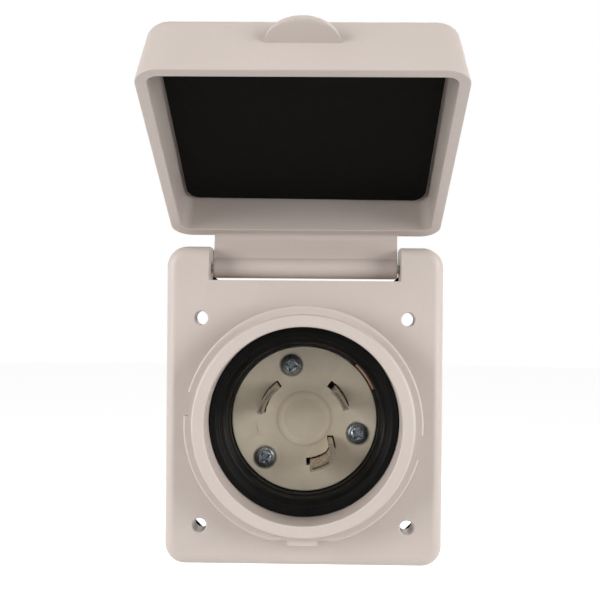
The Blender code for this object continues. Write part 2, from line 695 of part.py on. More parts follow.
def blade(name, material):
    """A curved locking blade with its tip chamfered, and the flat terminal behind it."""
    outline = blade_outline(name)
    tip = y_at(FACE_DEPTH - BLADE_LENGTH)
    seat = y_at(INSULATOR_BACK + GAP)
    body = prism(f"blade_{name}", outline, tip, seat + 0.5 * MM, material)
    bevel = body.modifiers.new("tip", "BEVEL")
    bevel.width = 0.35 * MM
    bevel.segments = 1
    bevel.limit_method = "WEIGHT"
    weights = body.data.attributes.new("bevel_weight_edge", "FLOAT", "EDGE")
    for edge in body.data.edges:
        ends = [body.data.vertices[index].co.y for index in edge.vertices]
        if max(ends) < tip + 0.01 * MM:
            weights.data[edge.index].value = 1
    half = TERMINAL_WIDTH / 2
    plate = block(f"terminal_{name}", (BLADE_INNER, seat, -half),
                  (TERMINAL_RADIUS + half, seat + TERMINAL_PLATE, half))
    turn_about_bore(plate, TERMINAL_ANGLES[name])
    join(body, plate)
    centre = polar(TERMINAL_RADIUS, TERMINAL_ANGLES[name])
    cut(body, round_hole(f"cut_blade_{name}", centre, TERMINAL_HOLE, INSULATOR_BACK - 1 * MM,
                         42 * MM))
    settle(body)
    return body


def screw_mesh(name, head_radius, head_height, shank_radius, length, recess, material):
    """A screw along -Y to +Y, its head's seat at Y = 0 and its head towards -Y."""
    profile = [(0, -head_height), (head_radius * 0.55, -head_height),
               (head_radius * 0.86, -head_height * 0.8), (head_radius, -head_height * 0.42),
               (head_radius, 0), (shank_radius, 0), (shank_radius, length - shank_radius * 0.6),
               (shank_radius * 0.5, length), (0, length)]
    screw = turned(name, profile, material, FINE_ROUND)
    depth = head_height * 0.62
    for index, outline in enumerate(recess):
        loops = [[(x * scale, y, z * scale) for x, z in outline]
                 for scale, y in ((1.08, -head_height - 0.1 * MM), (0.7, depth - head_height))]
        cut(screw, loft(f"recess_{name}_{index}", loops))
    settle(screw)
    return screw


def cross_recess(reach, width):
    """A Phillips cross, seen from the front."""
    half = width / 2
    outline = []
    for quarter in range(4):
        turn = math.radians(90 * quarter)
        for x, z in ((reach, -half), (reach, half), (half, half)):
            outline.append((x * math.cos(turn) - z * math.sin(turn),
                            x * math.sin(turn) + z * math.cos(turn)))
    return [outline]


def slot_recess(reach, width):
    half = width / 2
    return [[(-reach, -half), (reach, -half), (reach, half), (-reach, half)]]


def copies(first, names, places):
    """Place a settled piece and its copies, which share its mesh."""
    pieces = [first]
    first.name = names[0]
    for name in names[1:]:
        piece = first.copy()
        piece.name = name
        bpy.context.scene.collection.objects.link(piece)
        pieces.append(piece)
    for piece, place in zip(pieces, places):
        piece.location = place
    return pieces


def face_screws(material):
    screw = screw_mesh("face_screw_1", 3.55 * MM, 2.3 * MM, SCREW_SHANK, 17 * MM,
                       cross_recess(1.75 * MM, 0.75 * MM), material)
    seat = y_at(FACE_SEAT_DEPTH - GAP)
    places = [(x, seat, z) for x, z in (polar(FACE_SCREW_RADIUS, a) for a in FACE_SCREW_ANGLES)]
    screws = copies(screw, [f"face_screw_{i}" for i in (1, 2, 3)], places)
    for piece, turn in zip(screws, (12, 34, 58)):
        piece.rotation_euler = (0, math.radians(turn), 0)


def terminal_sets(clamp_material, screw_material):
    """On each blade's terminal, a clamping plate that holds the wire, and its screw."""
    start = y_at(INSULATOR_BACK + 2 * GAP) + TERMINAL_PLATE
    half = TERMINAL_WIDTH / 2
    names = list(BLADE_ANGLES)
    for name in names:
        clamp = prism(f"terminal_clamp_{name}",
                      rounded_rectangle(2 * half - 0.6 * MM, 2 * half, 1 * MM, steps=3),
                      start, start + CLAMP_PLATE, clamp_material)
        cut(clamp, prism(f"cut_clamp_{name}", circle(TERMINAL_HOLE), start - MM, start + 3 * MM))
        bottom = start + CLAMP_GROOVE_DEPTH
        for side in (-1, 1):
            z = side * CLAMP_GROOVE_OFFSET
            outline = [(start - MM, z - 0.5 * MM), (bottom, z - 0.2 * MM),
                       (bottom, z + 0.2 * MM), (start - MM, z + 0.5 * MM)]
            cut(clamp, side_prism(f"cut_groove_{name}_{side}", outline, 8 * MM))
        settle(clamp)
        x, z = polar(TERMINAL_RADIUS, TERMINAL_ANGLES[name])
        clamp.location = (x, 0, z)
        turn_about_bore(clamp, TERMINAL_ANGLES[name])
    screw = screw_mesh("terminal_screw_0", 3.7 * MM, 2.4 * MM, 1.7 * MM, 11 * MM,
                       slot_recess(4.2 * MM, 0.9 * MM), screw_material)
    screw.rotation_euler = (0, 0, math.pi)
    places = []
    for name in names:
        x, z = polar(TERMINAL_RADIUS, TERMINAL_ANGLES[name])
        places.append((x, start + CLAMP_PLATE + GAP, z))
    copies(screw, [f"terminal_screw_{name}" for name in names], places)


def housing_seal(material):
    start, stop = y_at(BARREL_END + GAP), y_at(HOUSING_FRONT - GAP)
    profile = [(INSULATOR_FLANGE_RADIUS + 2 * GAP, start), (BARREL_RADIUS, start),
               (BARREL_RADIUS, stop), (INSULATOR_FLANGE_RADIUS + 2 * GAP, stop)]
    seal = turned("housing_seal", profile, material, MIDDLE_ROUND)
    for angle in HOUSING_SCREW_ANGLES:
        centre = polar(HOUSING_SCREW_RADIUS, angle)
        join(seal, round_hole(f"seal_ear_{angle}", centre, HOUSING_EAR_RADIUS,
                              BARREL_END + GAP, HOUSING_FRONT - GAP))
    for angle in HOUSING_SCREW_ANGLES:
        centre = polar(HOUSING_SCREW_RADIUS, angle)
        cut(seal, round_hole(f"cut_seal_{angle}", centre, LOOSE_SCREW_HOLE, BARREL_END,
                             HOUSING_FRONT))
    settle(seal)
    return seal


def saddle_outline(side):
    """Half of the cord clamp across its length: an arch between two ears; side is +1 or -1."""
    ear = SADDLE_SPLIT + SADDLE_EAR
    meet = math.degrees(math.asin(ear / SADDLE_OUTER))
    mouth = math.degrees(math.asin(SADDLE_SPLIT / SADDLE_CHANNEL))
    outline = [(SADDLE_HALF_WIDTH, SADDLE_SPLIT), (SADDLE_HALF_WIDTH, ear)]
    outline += arc(SADDLE_OUTER, meet, 180 - meet, 16)
    outline += [(-SADDLE_HALF_WIDTH, ear), (-SADDLE_HALF_WIDTH, SADDLE_SPLIT)]
    outline += arc(SADDLE_CHANNEL, 180 - mouth, mouth, 16)
    return [(x, side * z) for x, z in outline]


def clamp_cylinder(name, side, radius, low, high):
    """An upright cylinder on the axis of one of the cord clamp's screws."""
    middle = y_at((SADDLE_START + SADDLE_END) / 2)
    loops = [[(side * CLAMP_SCREW_X + x, middle + y, z) for x, y in circle(radius)]
             for z in (low, high)]
    return loft(name, loops)


def rear_housing(material):
    """The cup over the terminals, with screw ears in front and the cord's saddle behind."""
    front, back = y_at(HOUSING_FRONT), y_at(HOUSING_BACK)
    wall = HOUSING_OUTER - HOUSING_INNER
    flange = front + HOUSING_EAR_THICKNESS
    slope = back - HOUSING_SLOPE
    profile = [
        (HOUSING_INNER, front), (BARREL_RADIUS, front), (BARREL_RADIUS, flange),
        (HOUSING_OUTER, flange), (HOUSING_OUTER, slope), (26.5 * MM, back - 1.2 * MM),
        (25.3 * MM, back), (NECK_OUTER, back), (NECK_OUTER, y_at(NECK_END)),
        (NECK_INNER, y_at(NECK_END)), (NECK_INNER, back - wall), (24.2 * MM, back - wall),
        (HOUSING_INNER, slope),
    ]
    cup = turned("rear_housing", profile, material, MIDDLE_ROUND)
    for angle in HOUSING_SCREW_ANGLES:
        centre = polar(HOUSING_SCREW_RADIUS, angle)
        join(cup, round_hole(f"ear_{angle}", centre, HOUSING_EAR_RADIUS, HOUSING_FRONT,
                             HOUSING_FRONT + HOUSING_EAR_THICKNESS))
    join(cup, prism("saddle", saddle_outline(-1), y_at(SADDLE_START), y_at(SADDLE_END)))
    for side in (-1, 1):
        join(cup, clamp_cylinder(f"saddle_boss_{side}", side, SADDLE_BOSS_RADIUS, -1.2 * MM,
                                 -12.5 * MM))
        cut(cup, clamp_cylinder(f"cut_saddle_{side}", side, SCREW_HOLE, 0, -11 * MM))
    for angle in HOUSING_SCREW_ANGLES:
        centre = polar(HOUSING_SCREW_RADIUS, angle)
        cut(cup, round_hole(f"cut_ear_{angle}", centre, SCREW_HOLE, HOUSING_FRONT - 1 * MM,
                            HOUSING_FRONT + 5 * MM))
    settle(cup)
    return cup


def housing_screws(material):
    screw = screw_mesh("housing_screw_1", 3.0 * MM, 2.0 * MM, SCREW_SHANK, 14 * MM,
                       cross_recess(1.5 * MM, 0.7 * MM), material)
    screw.rotation_euler = (0, 0, math.pi)
    seat = y_at(HOUSING_FRONT + HOUSING_EAR_THICKNESS + GAP)
    places = []
    for angle in HOUSING_SCREW_ANGLES:
        x, z = polar(HOUSING_SCREW_RADIUS, angle)
        places.append((x, seat, z))
    copies(screw, [f"housing_screw_{i}" for i in (1, 2, 3)], places)


def cord_grommet(material):
    start, stop = y_at(HOUSING_BACK - 2 * MM), y_at(NECK_END - 1 * MM)
    outer, inner = NECK_INNER - GAP, SADDLE_CHANNEL
    profile = [(inner, start), (inner - 0.5 * MM, (start + stop) / 2), (inner, stop),
               (outer, stop), (outer, start)]
    return turned("cord_grommet", profile, material, SMALL_ROUND)


def cord_clamp(material):
    """The loose upper half of the cord clamp."""
    start, stop = y_at(NECK_END + GAP), y_at(SADDLE_END)
    clamp = prism("cord_clamp", saddle_outline(1), start, stop, material)
    for side in (-1, 1):
        cut(clamp, clamp_cylinder(f"cut_cord_clamp_{side}", side, LOOSE_SCREW_HOLE, 0, 8 * MM))
    settle(clamp)
    return clamp


def clamp_screws(material):
    screw = screw_mesh("clamp_screw_1", 3.2 * MM, 2.1 * MM, SCREW_SHANK, 14 * MM,
                       cross_recess(1.6 * MM, 0.7 * MM), material)
    screw.rotation_euler = (-math.pi / 2, 0, 0)
    middle = y_at((SADDLE_START + SADDLE_END) / 2)
    seat = SADDLE_SPLIT + SADDLE_EAR + GAP
    places = [(side * CLAMP_SCREW_X, middle, seat) for side in (-1, 1)]
    copies(screw, ["clamp_screw_1", "clamp_screw_2"], places)


def lid_pivot():
    """An empty on the hinge axis; the lid is modelled shut and turned open with it."""
    pivot = bpy.data.objects.new("lid_pivot", None)
    bpy.context.scene.collection.objects.link(pivot)
    pivot.location = (0, y_at(HINGE_DEPTH), HINGE_Z)
    pivot.rotation_euler = (-math.radians(OPEN_ANGLE), 0, 0)
    return pivot


def main():
    for old in list(bpy.data.objects):
        bpy.data.objects.remove(old)
    white = make_material("white_plastic", (0.66, 0.58, 0.54), 0.42, 0)
    nylon = make_material("nylon", (0.52, 0.50, 0.42), 0.5, 0)
    rubber = make_material("black_rubber", (0.012, 0.012, 0.013), 0.6, 0)
    foam = make_material("black_foam", (0.01, 0.01, 0.011), 0.95, 0)
    nickel = make_material("nickel", (0.62, 0.56, 0.48), 0.28, 1)
    zinc = make_material("zinc", (0.42, 0.46, 0.5), 0.32, 1)
    brass = make_material("brass", (0.65, 0.45, 0.18), 0.35, 1)
    copper = make_material("copper", (0.62, 0.36, 0.24), 0.4, 1)
    steel = make_material("steel", (0.55, 0.55, 0.56), 0.25, 1)
    dark = make_material("black_plastic", (0.02, 0.02, 0.022), 0.5, 0)

    face_plate(white)
    mounting_gasket(foam)
    sealing_ring(rubber)
    front_insulator(nylon)
    rear_insulator(dark)
    for name in BLADE_ANGLES:
        blade(name, nickel)
    contact_strip(copper)
    face_screws(zinc)
    terminal_sets(brass, brass)
    housing_seal(rubber)
    rear_housing(white)
    housing_screws(zinc)
    cord_grommet(rubber)
    cord_clamp(white)
    clamp_screws(zinc)
    hinge_pin(steel)
    pivot = lid_pivot()
    lid(pivot, white)
    lid_pad(pivot, foam)


main()
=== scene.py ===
"""How a flanged power inlet box looks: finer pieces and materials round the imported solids.

The frame gives the places. A depth is counted from the flange's front face into the wall, so
what stands proud of the flange has a negative depth. The lid and its hinge are modelled shut
about the hinge's axis and turned open with the frame's own angle.
"""

import json
import math

import bmesh
import bpy
from mathutils import Matrix, Vector


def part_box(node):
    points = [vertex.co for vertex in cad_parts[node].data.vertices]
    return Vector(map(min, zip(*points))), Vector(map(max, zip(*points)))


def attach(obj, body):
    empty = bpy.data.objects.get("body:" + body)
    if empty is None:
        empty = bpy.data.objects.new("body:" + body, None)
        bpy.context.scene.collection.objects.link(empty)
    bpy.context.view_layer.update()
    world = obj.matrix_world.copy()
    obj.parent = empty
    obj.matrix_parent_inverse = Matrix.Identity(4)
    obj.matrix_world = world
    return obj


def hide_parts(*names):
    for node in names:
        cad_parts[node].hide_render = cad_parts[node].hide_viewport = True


MM = 0.001
GAP = 0.3 * MM

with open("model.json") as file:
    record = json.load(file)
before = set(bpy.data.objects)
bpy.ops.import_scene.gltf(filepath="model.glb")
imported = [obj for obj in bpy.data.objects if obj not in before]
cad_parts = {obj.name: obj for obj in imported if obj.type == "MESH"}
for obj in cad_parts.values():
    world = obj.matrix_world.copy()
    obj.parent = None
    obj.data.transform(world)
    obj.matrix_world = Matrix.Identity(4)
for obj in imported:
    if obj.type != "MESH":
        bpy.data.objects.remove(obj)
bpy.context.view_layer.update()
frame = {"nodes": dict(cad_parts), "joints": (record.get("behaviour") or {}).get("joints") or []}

# Driving sizes, read from the frame
hinge = frame["joints"][0]
HINGE = Vector(hinge["pos_m"])
OPEN_ANGLE = math.radians(hinge["range_deg"][1])
COLLAR_PROUD = 12.0 * MM
plate_low, plate_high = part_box("face_plate")
gasket_low, gasket_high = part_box("mounting_gasket")
FRONT = plate_low.y + COLLAR_PROUD
PLATE_DEPTH = gasket_low.y - GAP - FRONT
PLATE_WIDTH = plate_high.x - plate_low.x
PLATE_HEIGHT = plate_high.z - plate_low.z
PLATE_MIDDLE = (plate_high.z + plate_low.z) / 2
BARREL_END = plate_high.y - FRONT
HINGE_DEPTH = HINGE.y - FRONT

# Flange
PLATE_CORNER = 6.5 * MM
PLATE_FILLET = 3.4 * MM
PLATE_WALL = 3.2 * MM
PLATE_SKIRT = 2.8 * MM
HOLE_REACH = 33.35 * MM
HOLE_RADIUS = 2.25 * MM
BOSS_RADIUS = 5.0 * MM
BOSS_END = 10.0 * MM
RIB_HALF = 0.8 * MM
RIB_END = 9.0 * MM
GASKET_BORDER = 4.9 * MM
GASKET_CORNER = 50.2 * MM

# Collar
BORE = 30.95 * MM
LIP = 34.8 * MM
COLLAR_FLANGE = 37.7 * MM
FLANGE_FRONT = -8.6 * MM
FLANGE_BACK = -4.8 * MM
NECK = 35.6 * MM
FLAT_Z = -35.9 * MM
TAB_HALF = 4.7 * MM
TAB_Z = -37.7 * MM
NOTCH_ANGLES = (-10, 170)
NOTCH_HALF = 3.85 * MM
NOTCH_RADIUS = 36.1 * MM
BARREL = 33.5 * MM

# Hinge and lid
NOTCH_WIDTH = 62.0 * MM
NOTCH_BOTTOM = 45.65 * MM
KNUCKLE_HALF = 30.3 * MM
KNUCKLE_RADIUS = 3.4 * MM
PIN_RADIUS = 1.5 * MM
PIN_CHEEK = 10.0 * MM
RIM_GAP = 0.5 * MM
LEAF_BELOW = 2.4 * MM
LEAF_THICKNESS = 1.9 * MM
LEAF_OVERLAP = 6.4 * MM
LID_WIDTH = 88.4 * MM
LID_LENGTH = 92.1 * MM
LID_HEIGHT = 17.6 * MM
LID_CEILING = 14.2 * MM
LID_WALL = 3.2 * MM
LID_HINGE_WALL = 4.2 * MM
LID_CORNER = 6.6 * MM
LID_FILLET = 3.0 * MM
LID_DRAFT = (0.15, 0.06, 0.13)
LID_INNER_DRAFT = (0.05, 0.03, 0.03)
LID_TOP = 2.4 * MM
GRIP_ROOT = 8.9 * MM
GRIP_SIZE = (10.0 * MM, 6.0 * MM, 8.5 * MM)
GRIP_SLOPE = 25
GRIP_SOFT = 0.72
PAD_SURFACE = 12.4 * MM
PAD_CORNER = 5.0 * MM
PAD_MARGIN = 1.0 * MM
PAD_LIFT = (0.46 * MM, 0.4 * MM, 2.1 * MM)
PAD_LIFT_REACH = 16 * MM

# Plug end
FACE_DEPTH = 13.1 * MM
FACE_RADIUS = 24.1 * MM
RING_BACK = 16.5 * MM
JOINT_DEPTH = 19.4 * MM
INSULATOR_BACK = 37.0 * MM
BLADE_INNER = 13.4 * MM
BLADE_OUTER = 15.2 * MM
BLADE_TIP = -5.4 * MM
BLADE_ANGLES = {"neutral": (127, 167), "hot": (19, 48.5), "ground": (-81, -53)}
SLOT_ANGLES = {"neutral": (125.5, 172), "hot": (17, 55), "ground": (-87, -51)}
SLOT_MARGIN = 0.35 * MM
LEG = ((10.2 * MM, -9.3 * MM), (9.3 * MM, -5.9 * MM), (7.9 * MM, -5.9 * MM), (8.5 * MM, -9.3 * MM))
LEG_STOP = -56
TERMINAL_ANGLES = {"neutral": 147, "hot": 33.75, "ground": -67}
TERMINAL_RADIUS = 20.3 * MM
TERMINAL_HALF = 4.8 * MM
STRIP_ANGLES = (23.6, 46.6)
STRIP_RADII = (24.5 * MM, 25.3 * MM)
SCREW_ANGLES = (104, -15, 225)
SCREW_TURNS = (12, 34, 58)
SCREW_CIRCLE = 18.4 * MM
SEAT_RADIUS = 4.0 * MM
SEAT_DEPTH = FACE_DEPTH + 0.7 * MM
BUTTON = (6.9 * MM, 7.3 * MM, 8.5 * MM, 9.3 * MM)
BUTTON_RISE = 0.4 * MM
BUTTON_DISH = 0.15 * MM
FACE_FLANGE = 30.6 * MM
MARK_RADIUS = 2.7 * MM
MARK_PLACE = (18.5 * MM, 192)
RING_STEPS = ((28.6, 3.1), (28.2, 3.8), (27.5, 3.8), (26.4, 5.6), (25.7, 6.0), (25.1, 8.8),
              (24.6, 9.4), (24.4, 12.0))
THREAD_HOLE = 1.8 * MM
LOOSE_HOLE = 1.9 * MM

# Screws: the head's radius and height, the shank's radius and length, and the cross's reach
FACE_SCREW = (3.55 * MM, 2.3 * MM, 1.5 * MM, 17 * MM, 2.1 * MM)
CUP_SCREW = (3.0 * MM, 2.0 * MM, 1.5 * MM, 14 * MM, 1.5 * MM)
STRAP_SCREW = (3.2 * MM, 2.1 * MM, 1.5 * MM, 14 * MM, 1.6 * MM)
THREAD_PITCH = 0.8 * MM
THREAD_DEPTH = 0.28 * MM

# Rear housing and cord clamp
HOUSING_FRONT = 20.0 * MM
HOUSING_INNER = 28.8 * MM
HOUSING_OUTER = 31.6 * MM
HOUSING_BACK = 62.6 * MM
HOUSING_TAPER = 16 * MM
HOUSING_END = (24.2 * MM, 26.2 * MM)
HOUSING_RIBS = 12
EAR_ANGLES = (90, 210, 330)
EAR_CIRCLE = 36.2 * MM
EAR_RADIUS = 3.4 * MM
EAR_THICKNESS = 3.4 * MM
TUBE_OUTER = 13.2 * MM
TUBE_INNER = 10.2 * MM
TUBE_END = 70.0 * MM
SADDLE_START = 69.0 * MM
SADDLE_END = 84.0 * MM
CHANNEL = 8.0 * MM
ARCH = 11.0 * MM
SADDLE_HALF = 19.0 * MM
SADDLE_EAR = 3.6 * MM
CLAMP_X = 14.6 * MM

# Stage
CAMERA_PLACE = (0.0059, FRONT - 0.3534, 0.0378)
CAMERA_TURNS = ((1.2, "Z"), (90.26, "X"), (0.5, "Z"))
CAMERA_LENS = 66.0
LAMP_TARGET = Vector((0, 0, 0.03))
FLOOR_Z = -0.30
FLOOR_RADIUS = 6.0
FLOOR_FRONT = (-0.45, -0.05)
FLOOR_GREY = 0.36
FLOOR_BACK = (0.35, 0.85)
FLOOR_GLOW = 0.5
SKY = (0.15, 1.0, 0.60, 0.53)
FRONT_SKY = (-0.3, -0.9, 1.0, 0.55)
LAMPS = (("left", (-1.35, -0.8, 0.4), 19.0, 1.0), ("right", (1.35, -0.8, 0.35), 19.0, 1.0),
         ("back", (0.3, 1.5, 0.9), 8.0, 1.0))

ROUND = 144
SMALL_ROUND = 40
EDGE = 0.2 * MM


def y_at(depth):
    """The Y of a depth counted from the flange's front face."""
    return FRONT + depth


def polar(radius, angle):
    """(x, z) at an angle in degrees, anticlockwise from +X as seen from the plug side."""
    return radius * math.cos(math.radians(angle)), radius * math.sin(math.radians(angle))


def arc(radius, start, stop, steps, centre=(0, 0)):
    points = []
    for i in range(steps + 1):
        x, z = polar(radius, start + (stop - start) * i / steps)
        points.append((x + centre[0], z + centre[1]))
    return points


def circle(radius, centre=(0, 0), steps=SMALL_ROUND):
    return arc(radius, 0, 360, steps, centre)[:-1]


def rounded_rectangle(width, height, radius, middle=(0, 0), steps=12):
    outline = []
    for side, end, angle in ((1, 1, 0), (-1, 1, 90), (-1, -1, 180), (1, -1, 270)):
        centre = (middle[0] + side * (width / 2 - radius), middle[1] + end * (height / 2 - radius))
        outline += arc(radius, angle, angle + 90, steps, centre)
    return outline


def band(inner, outer, start, stop, steps=20):
    """The outline of a curved strip between two radii and two angles."""
    return arc(outer, start, stop, steps) + arc(inner, stop, start, steps)


def eased(points, radius, closed=True, steps=4):
    """A polygon with its corners rounded, each no further than its neighbours allow."""
    count = len(points)
    result = []
    for i, point in enumerate(points):
        corner = Vector(point)
        if not closed and i in (0, count - 1):
            result.append(tuple(corner))
            continue
        before = Vector(points[i - 1]) - corner
        after = Vector(points[(i + 1) % count]) - corner
        reach = min(radius, 0.45 * before.length, 0.45 * after.length)
        start = corner + before.normalized() * reach
        end = corner + after.normalized() * reach
        for step in range(steps + 1):
            t = step / steps
            bent = start * (1 - t) ** 2 + corner * 2 * t * (1 - t) + end * t ** 2
            result.append(tuple(bent))
    return result


# Mesh building


def finish(name, mesh):
    """Turn a bmesh into an object whose faces point outwards."""
    bmesh.ops.recalc_face_normals(mesh, faces=mesh.faces)
    data = bpy.data.meshes.new(name)
    mesh.to_mesh(data)
    mesh.free()
    piece = bpy.data.objects.new(name, data)
    bpy.context.scene.collection.objects.link(piece)
    return piece


def loft(name, loops):
    """A solid through loops of as many points each, closed by a face at both ends."""
    mesh = bmesh.new()
    rows = [[mesh.verts.new(point) for point in loop] for loop in loops]
    for first, second in zip(rows, rows[1:]):
        for i in range(len(first)):
            j = (i + 1) % len(first)
            mesh.faces.new((first[i], first[j], second[j], second[i]))
    mesh.faces.new(rows[0])
    mesh.faces.new(rows[-1])
    return finish(name, mesh)


def prism(name, outline, start, stop):
    """An outline of (x, z) points, extruded between two values of Y."""
    return loft(name, [[(x, y, z) for x, z in outline] for y in (start, stop)])


def side_prism(name, outline, half):
    """An outline of (y, z) points, extruded to half on both sides of X = 0."""
    return loft(name, [[(x, y, z) for y, z in outline] for x in (-half, half)])


def upright(name, outline, low, high, centre=(0, 0)):
    """An outline of (x, y) points about centre, extruded between two values of Z."""
    return loft(name, [[(centre[0] + x, centre[1] + y, z) for x, y in outline]
                       for z in (low, high)])


def block(name, low, high):
    outline = [(low[0], low[2]), (high[0], low[2]), (high[0], high[2]), (low[0], high[2])]
    return prism(name, outline, low[1], high[1])


def turned(name, profile, steps=ROUND):
    """A profile of (radius, y) points turned about Y: closed, or with its ends on the axis."""
    mesh = bmesh.new()
    points = [mesh.verts.new((radius, y, 0)) for radius, y in profile]
    edges = [mesh.edges.new(pair) for pair in zip(points, points[1:])]
    if profile[0][0] > 0:
        edges.append(mesh.edges.new((points[-1], points[0])))
    bmesh.ops.spin(mesh, geom=points + edges, axis=(0, 1, 0), cent=(0, 0, 0),
                   dvec=(0, 0, 0), angle=2 * math.pi, steps=steps, use_merge=True)
    bmesh.ops.remove_doubles(mesh, verts=mesh.verts, dist=1e-6)
    return finish(name, mesh)


def move(piece, matrix):
    piece.data.transform(matrix)
    return piece


def about_bore(piece, angle):
    """Turn a piece modelled along +X to an angle, anticlockwise from the plug side."""
    return move(piece, Matrix.Rotation(-math.radians(angle), 4, "Y"))


def hole(name, centre, radius, start, stop, steps=SMALL_ROUND):
    return prism(name, circle(radius, centre, steps), y_at(start), y_at(stop))


def flared_hole(name, centre, radius, start, stop, flare):
    """A hole's cutter whose mouths, at both depths, open out in a round edge."""
    loops = []
    ends = ((start, -1), (stop, 1))
    for depth, out in ends:
        rows = [(radius + flare, out * flare)]
        for i in range(5):
            angle = math.radians(90 * i / 4)
            rows.append((radius + flare * (1 - math.sin(angle)),
                         -out * flare * (1 - math.cos(angle))))
        rows = [(r, y_at(depth) + y) for r, y in rows]
        loops += rows if out < 0 else rows[::-1]
    return loft(name, [[(x, y, z) for x, z in circle(r, centre)] for r, y in loops])


def carve(piece, steps, edge=0.0, angle=38):
    """Join (+) and cut (-) tools in order, round the edges, and make it one plain mesh."""
    for sign, tool in steps:
        modifier = piece.modifiers.new(tool.name, "BOOLEAN")
        modifier.operation = "UNION" if sign == "+" else "DIFFERENCE"
        modifier.object = tool
    if edge:
        bevel = piece.modifiers.new("edges", "BEVEL")
        bevel.width = edge
        bevel.segments = 2
        bevel.limit_method = "ANGLE"
        bevel.angle_limit = math.radians(angle)
    bpy.context.view_layer.update()
    graph = bpy.context.evaluated_depsgraph_get()
    mesh = bpy.data.meshes.new_from_object(piece.evaluated_get(graph))
    piece.modifiers.clear()
    piece.data = mesh
    for _, tool in steps:
        bpy.data.objects.remove(tool)
    return piece


def smooth(piece, angle=36):
    """Smooth shading that keeps flat faces flat and hard edges hard."""
    piece.data.shade_smooth()
    piece.data.set_sharp_from_angle(angle=math.radians(angle))
    weighted = piece.modifiers.new("weighted", "WEIGHTED_NORMAL")
    weighted.keep_sharp = True
    weighted.weight = 80
    return piece


def dress(piece, name, look, slot, body, *nodes):
    """Name a finished piece, give it its material and its body, and hide what it stands for."""
    piece.name = name
    piece.data.name = name
    piece.data.materials.clear()
    piece.data.materials.append(look)
    smooth(piece)
    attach(piece, body)
    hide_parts(*nodes)
    return piece


# Materials


class Look:
    """A node material, with short ways to add its nodes. Patterns are in metres."""

    def __init__(self, name, roughness, metallic=0.0):
        self.material = bpy.data.materials.new(name)
        self.material.use_nodes = True
        self.tree = self.material.node_tree
        self.shader = self.tree.nodes["Principled BSDF"]
        self.shader.inputs["Metallic"].default_value = metallic
        self.shader.inputs["Roughness"].default_value = roughness
        self.place = self.tree.nodes.new("ShaderNodeTexCoord").outputs["Object"]
        self.normal = None

    def link(self, output, target):
        self.tree.links.new(output, target)

    def noise(self, size, detail=4.0, stretch=(1, 1, 1)):
        """Noise whose blotches are about size metres across, from 0 to 1."""
        mapping = self.tree.nodes.new("ShaderNodeMapping")
        mapping.inputs["Scale"].default_value = stretch
        self.link(self.place, mapping.inputs["Vector"])
        noise = self.tree.nodes.new("ShaderNodeTexNoise")
        noise.inputs["Scale"].default_value = 1 / size
        noise.inputs["Detail"].default_value = detail
        self.link(mapping.outputs["Vector"], noise.inputs["Vector"])
        return noise.outputs["Fac"]

    def cells(self, size):
        """The distance to the nearest of points scattered about size metres apart."""
        voronoi = self.tree.nodes.new("ShaderNodeTexVoronoi")
        voronoi.inputs["Scale"].default_value = 1 / size
        self.link(self.place, voronoi.inputs["Vector"])
        return voronoi.outputs["Distance"]

    def edges(self):
        """From 0 in hollows to 1 on edges that stand out."""
        geometry = self.tree.nodes.new("ShaderNodeNewGeometry")
        return self.spread(geometry.outputs["Pointiness"], 0.50, 0.56, 0, 1)

    def spread(self, value, low, high, to_low, to_high):
        node = self.tree.nodes.new("ShaderNodeMapRange")
        for key, number in zip(("From Min", "From Max", "To Min", "To Max"),
                               (low, high, to_low, to_high)):
            node.inputs[key].default_value = number
        self.link(value, node.inputs["Value"])
        return node.outputs["Result"]

    def blend(self, factor, first, second):
        """A colour between two, each an output or an (r, g, b)."""
        node = self.tree.nodes.new("ShaderNodeMix")
        node.data_type = "RGBA"
        self.link(factor, node.inputs["Factor"])
        for socket, value in ((node.inputs[6], first), (node.inputs[7], second)):
            if isinstance(value, tuple):
                socket.default_value = (*value, 1)
            else:
                self.link(value, socket)
        return node.outputs[2]

    def colour(self, output):
        self.link(output, self.shader.inputs["Base Color"])

    def roughness(self, output):
        self.link(output, self.shader.inputs["Roughness"])

    def bump(self, height, depth, strength=1.0):
        """Raise the surface by height times depth metres, over any bump added before."""
        node = self.tree.nodes.new("ShaderNodeBump")
        node.inputs["Distance"].default_value = depth
        node.inputs["Strength"].default_value = strength
        self.link(height, node.inputs["Height"])
        if self.normal:
            self.link(self.normal, node.inputs["Normal"])
        self.normal = node.outputs["Normal"]
        self.link(self.normal, self.shader.inputs["Normal"])


def shade(colour, factor):
    return tuple(channel * factor for channel in colour)


def moulded_plastic(name, colour, roughness, grain=0.012 * MM):
    """Satin moulded plastic: faint flow marks, a spark-eroded grain, and edges painted paler as a
    painted highlight.
    """
    look = Look(name, roughness)
    flow = look.spread(look.noise(26 * MM, 3), 0.3, 0.7, 0, 1)
    base = look.blend(flow, shade(colour, 0.965), shade(colour, 1.02))
    speck = look.spread(look.noise(0.7 * MM, 6), 0.35, 0.7, 0, 0.5)
    base = look.blend(speck, base, shade(colour, 0.955))
    # Edges that stand out are painted paler: a painted highlight.
    painted_edge_highlight = look.spread(look.edges(), 0, 1, 0, 0.45)
    look.colour(look.blend(painted_edge_highlight, base, shade(colour, 1.08)))
    look.roughness(look.spread(look.noise(5 * MM, 5), 0.3, 0.7, roughness - 0.05, roughness + 0.07))
    look.bump(look.noise(0.32 * MM, 3), grain)
    look.bump(look.noise(11 * MM, 2), 0.05 * MM, 0.35)
    return look.material


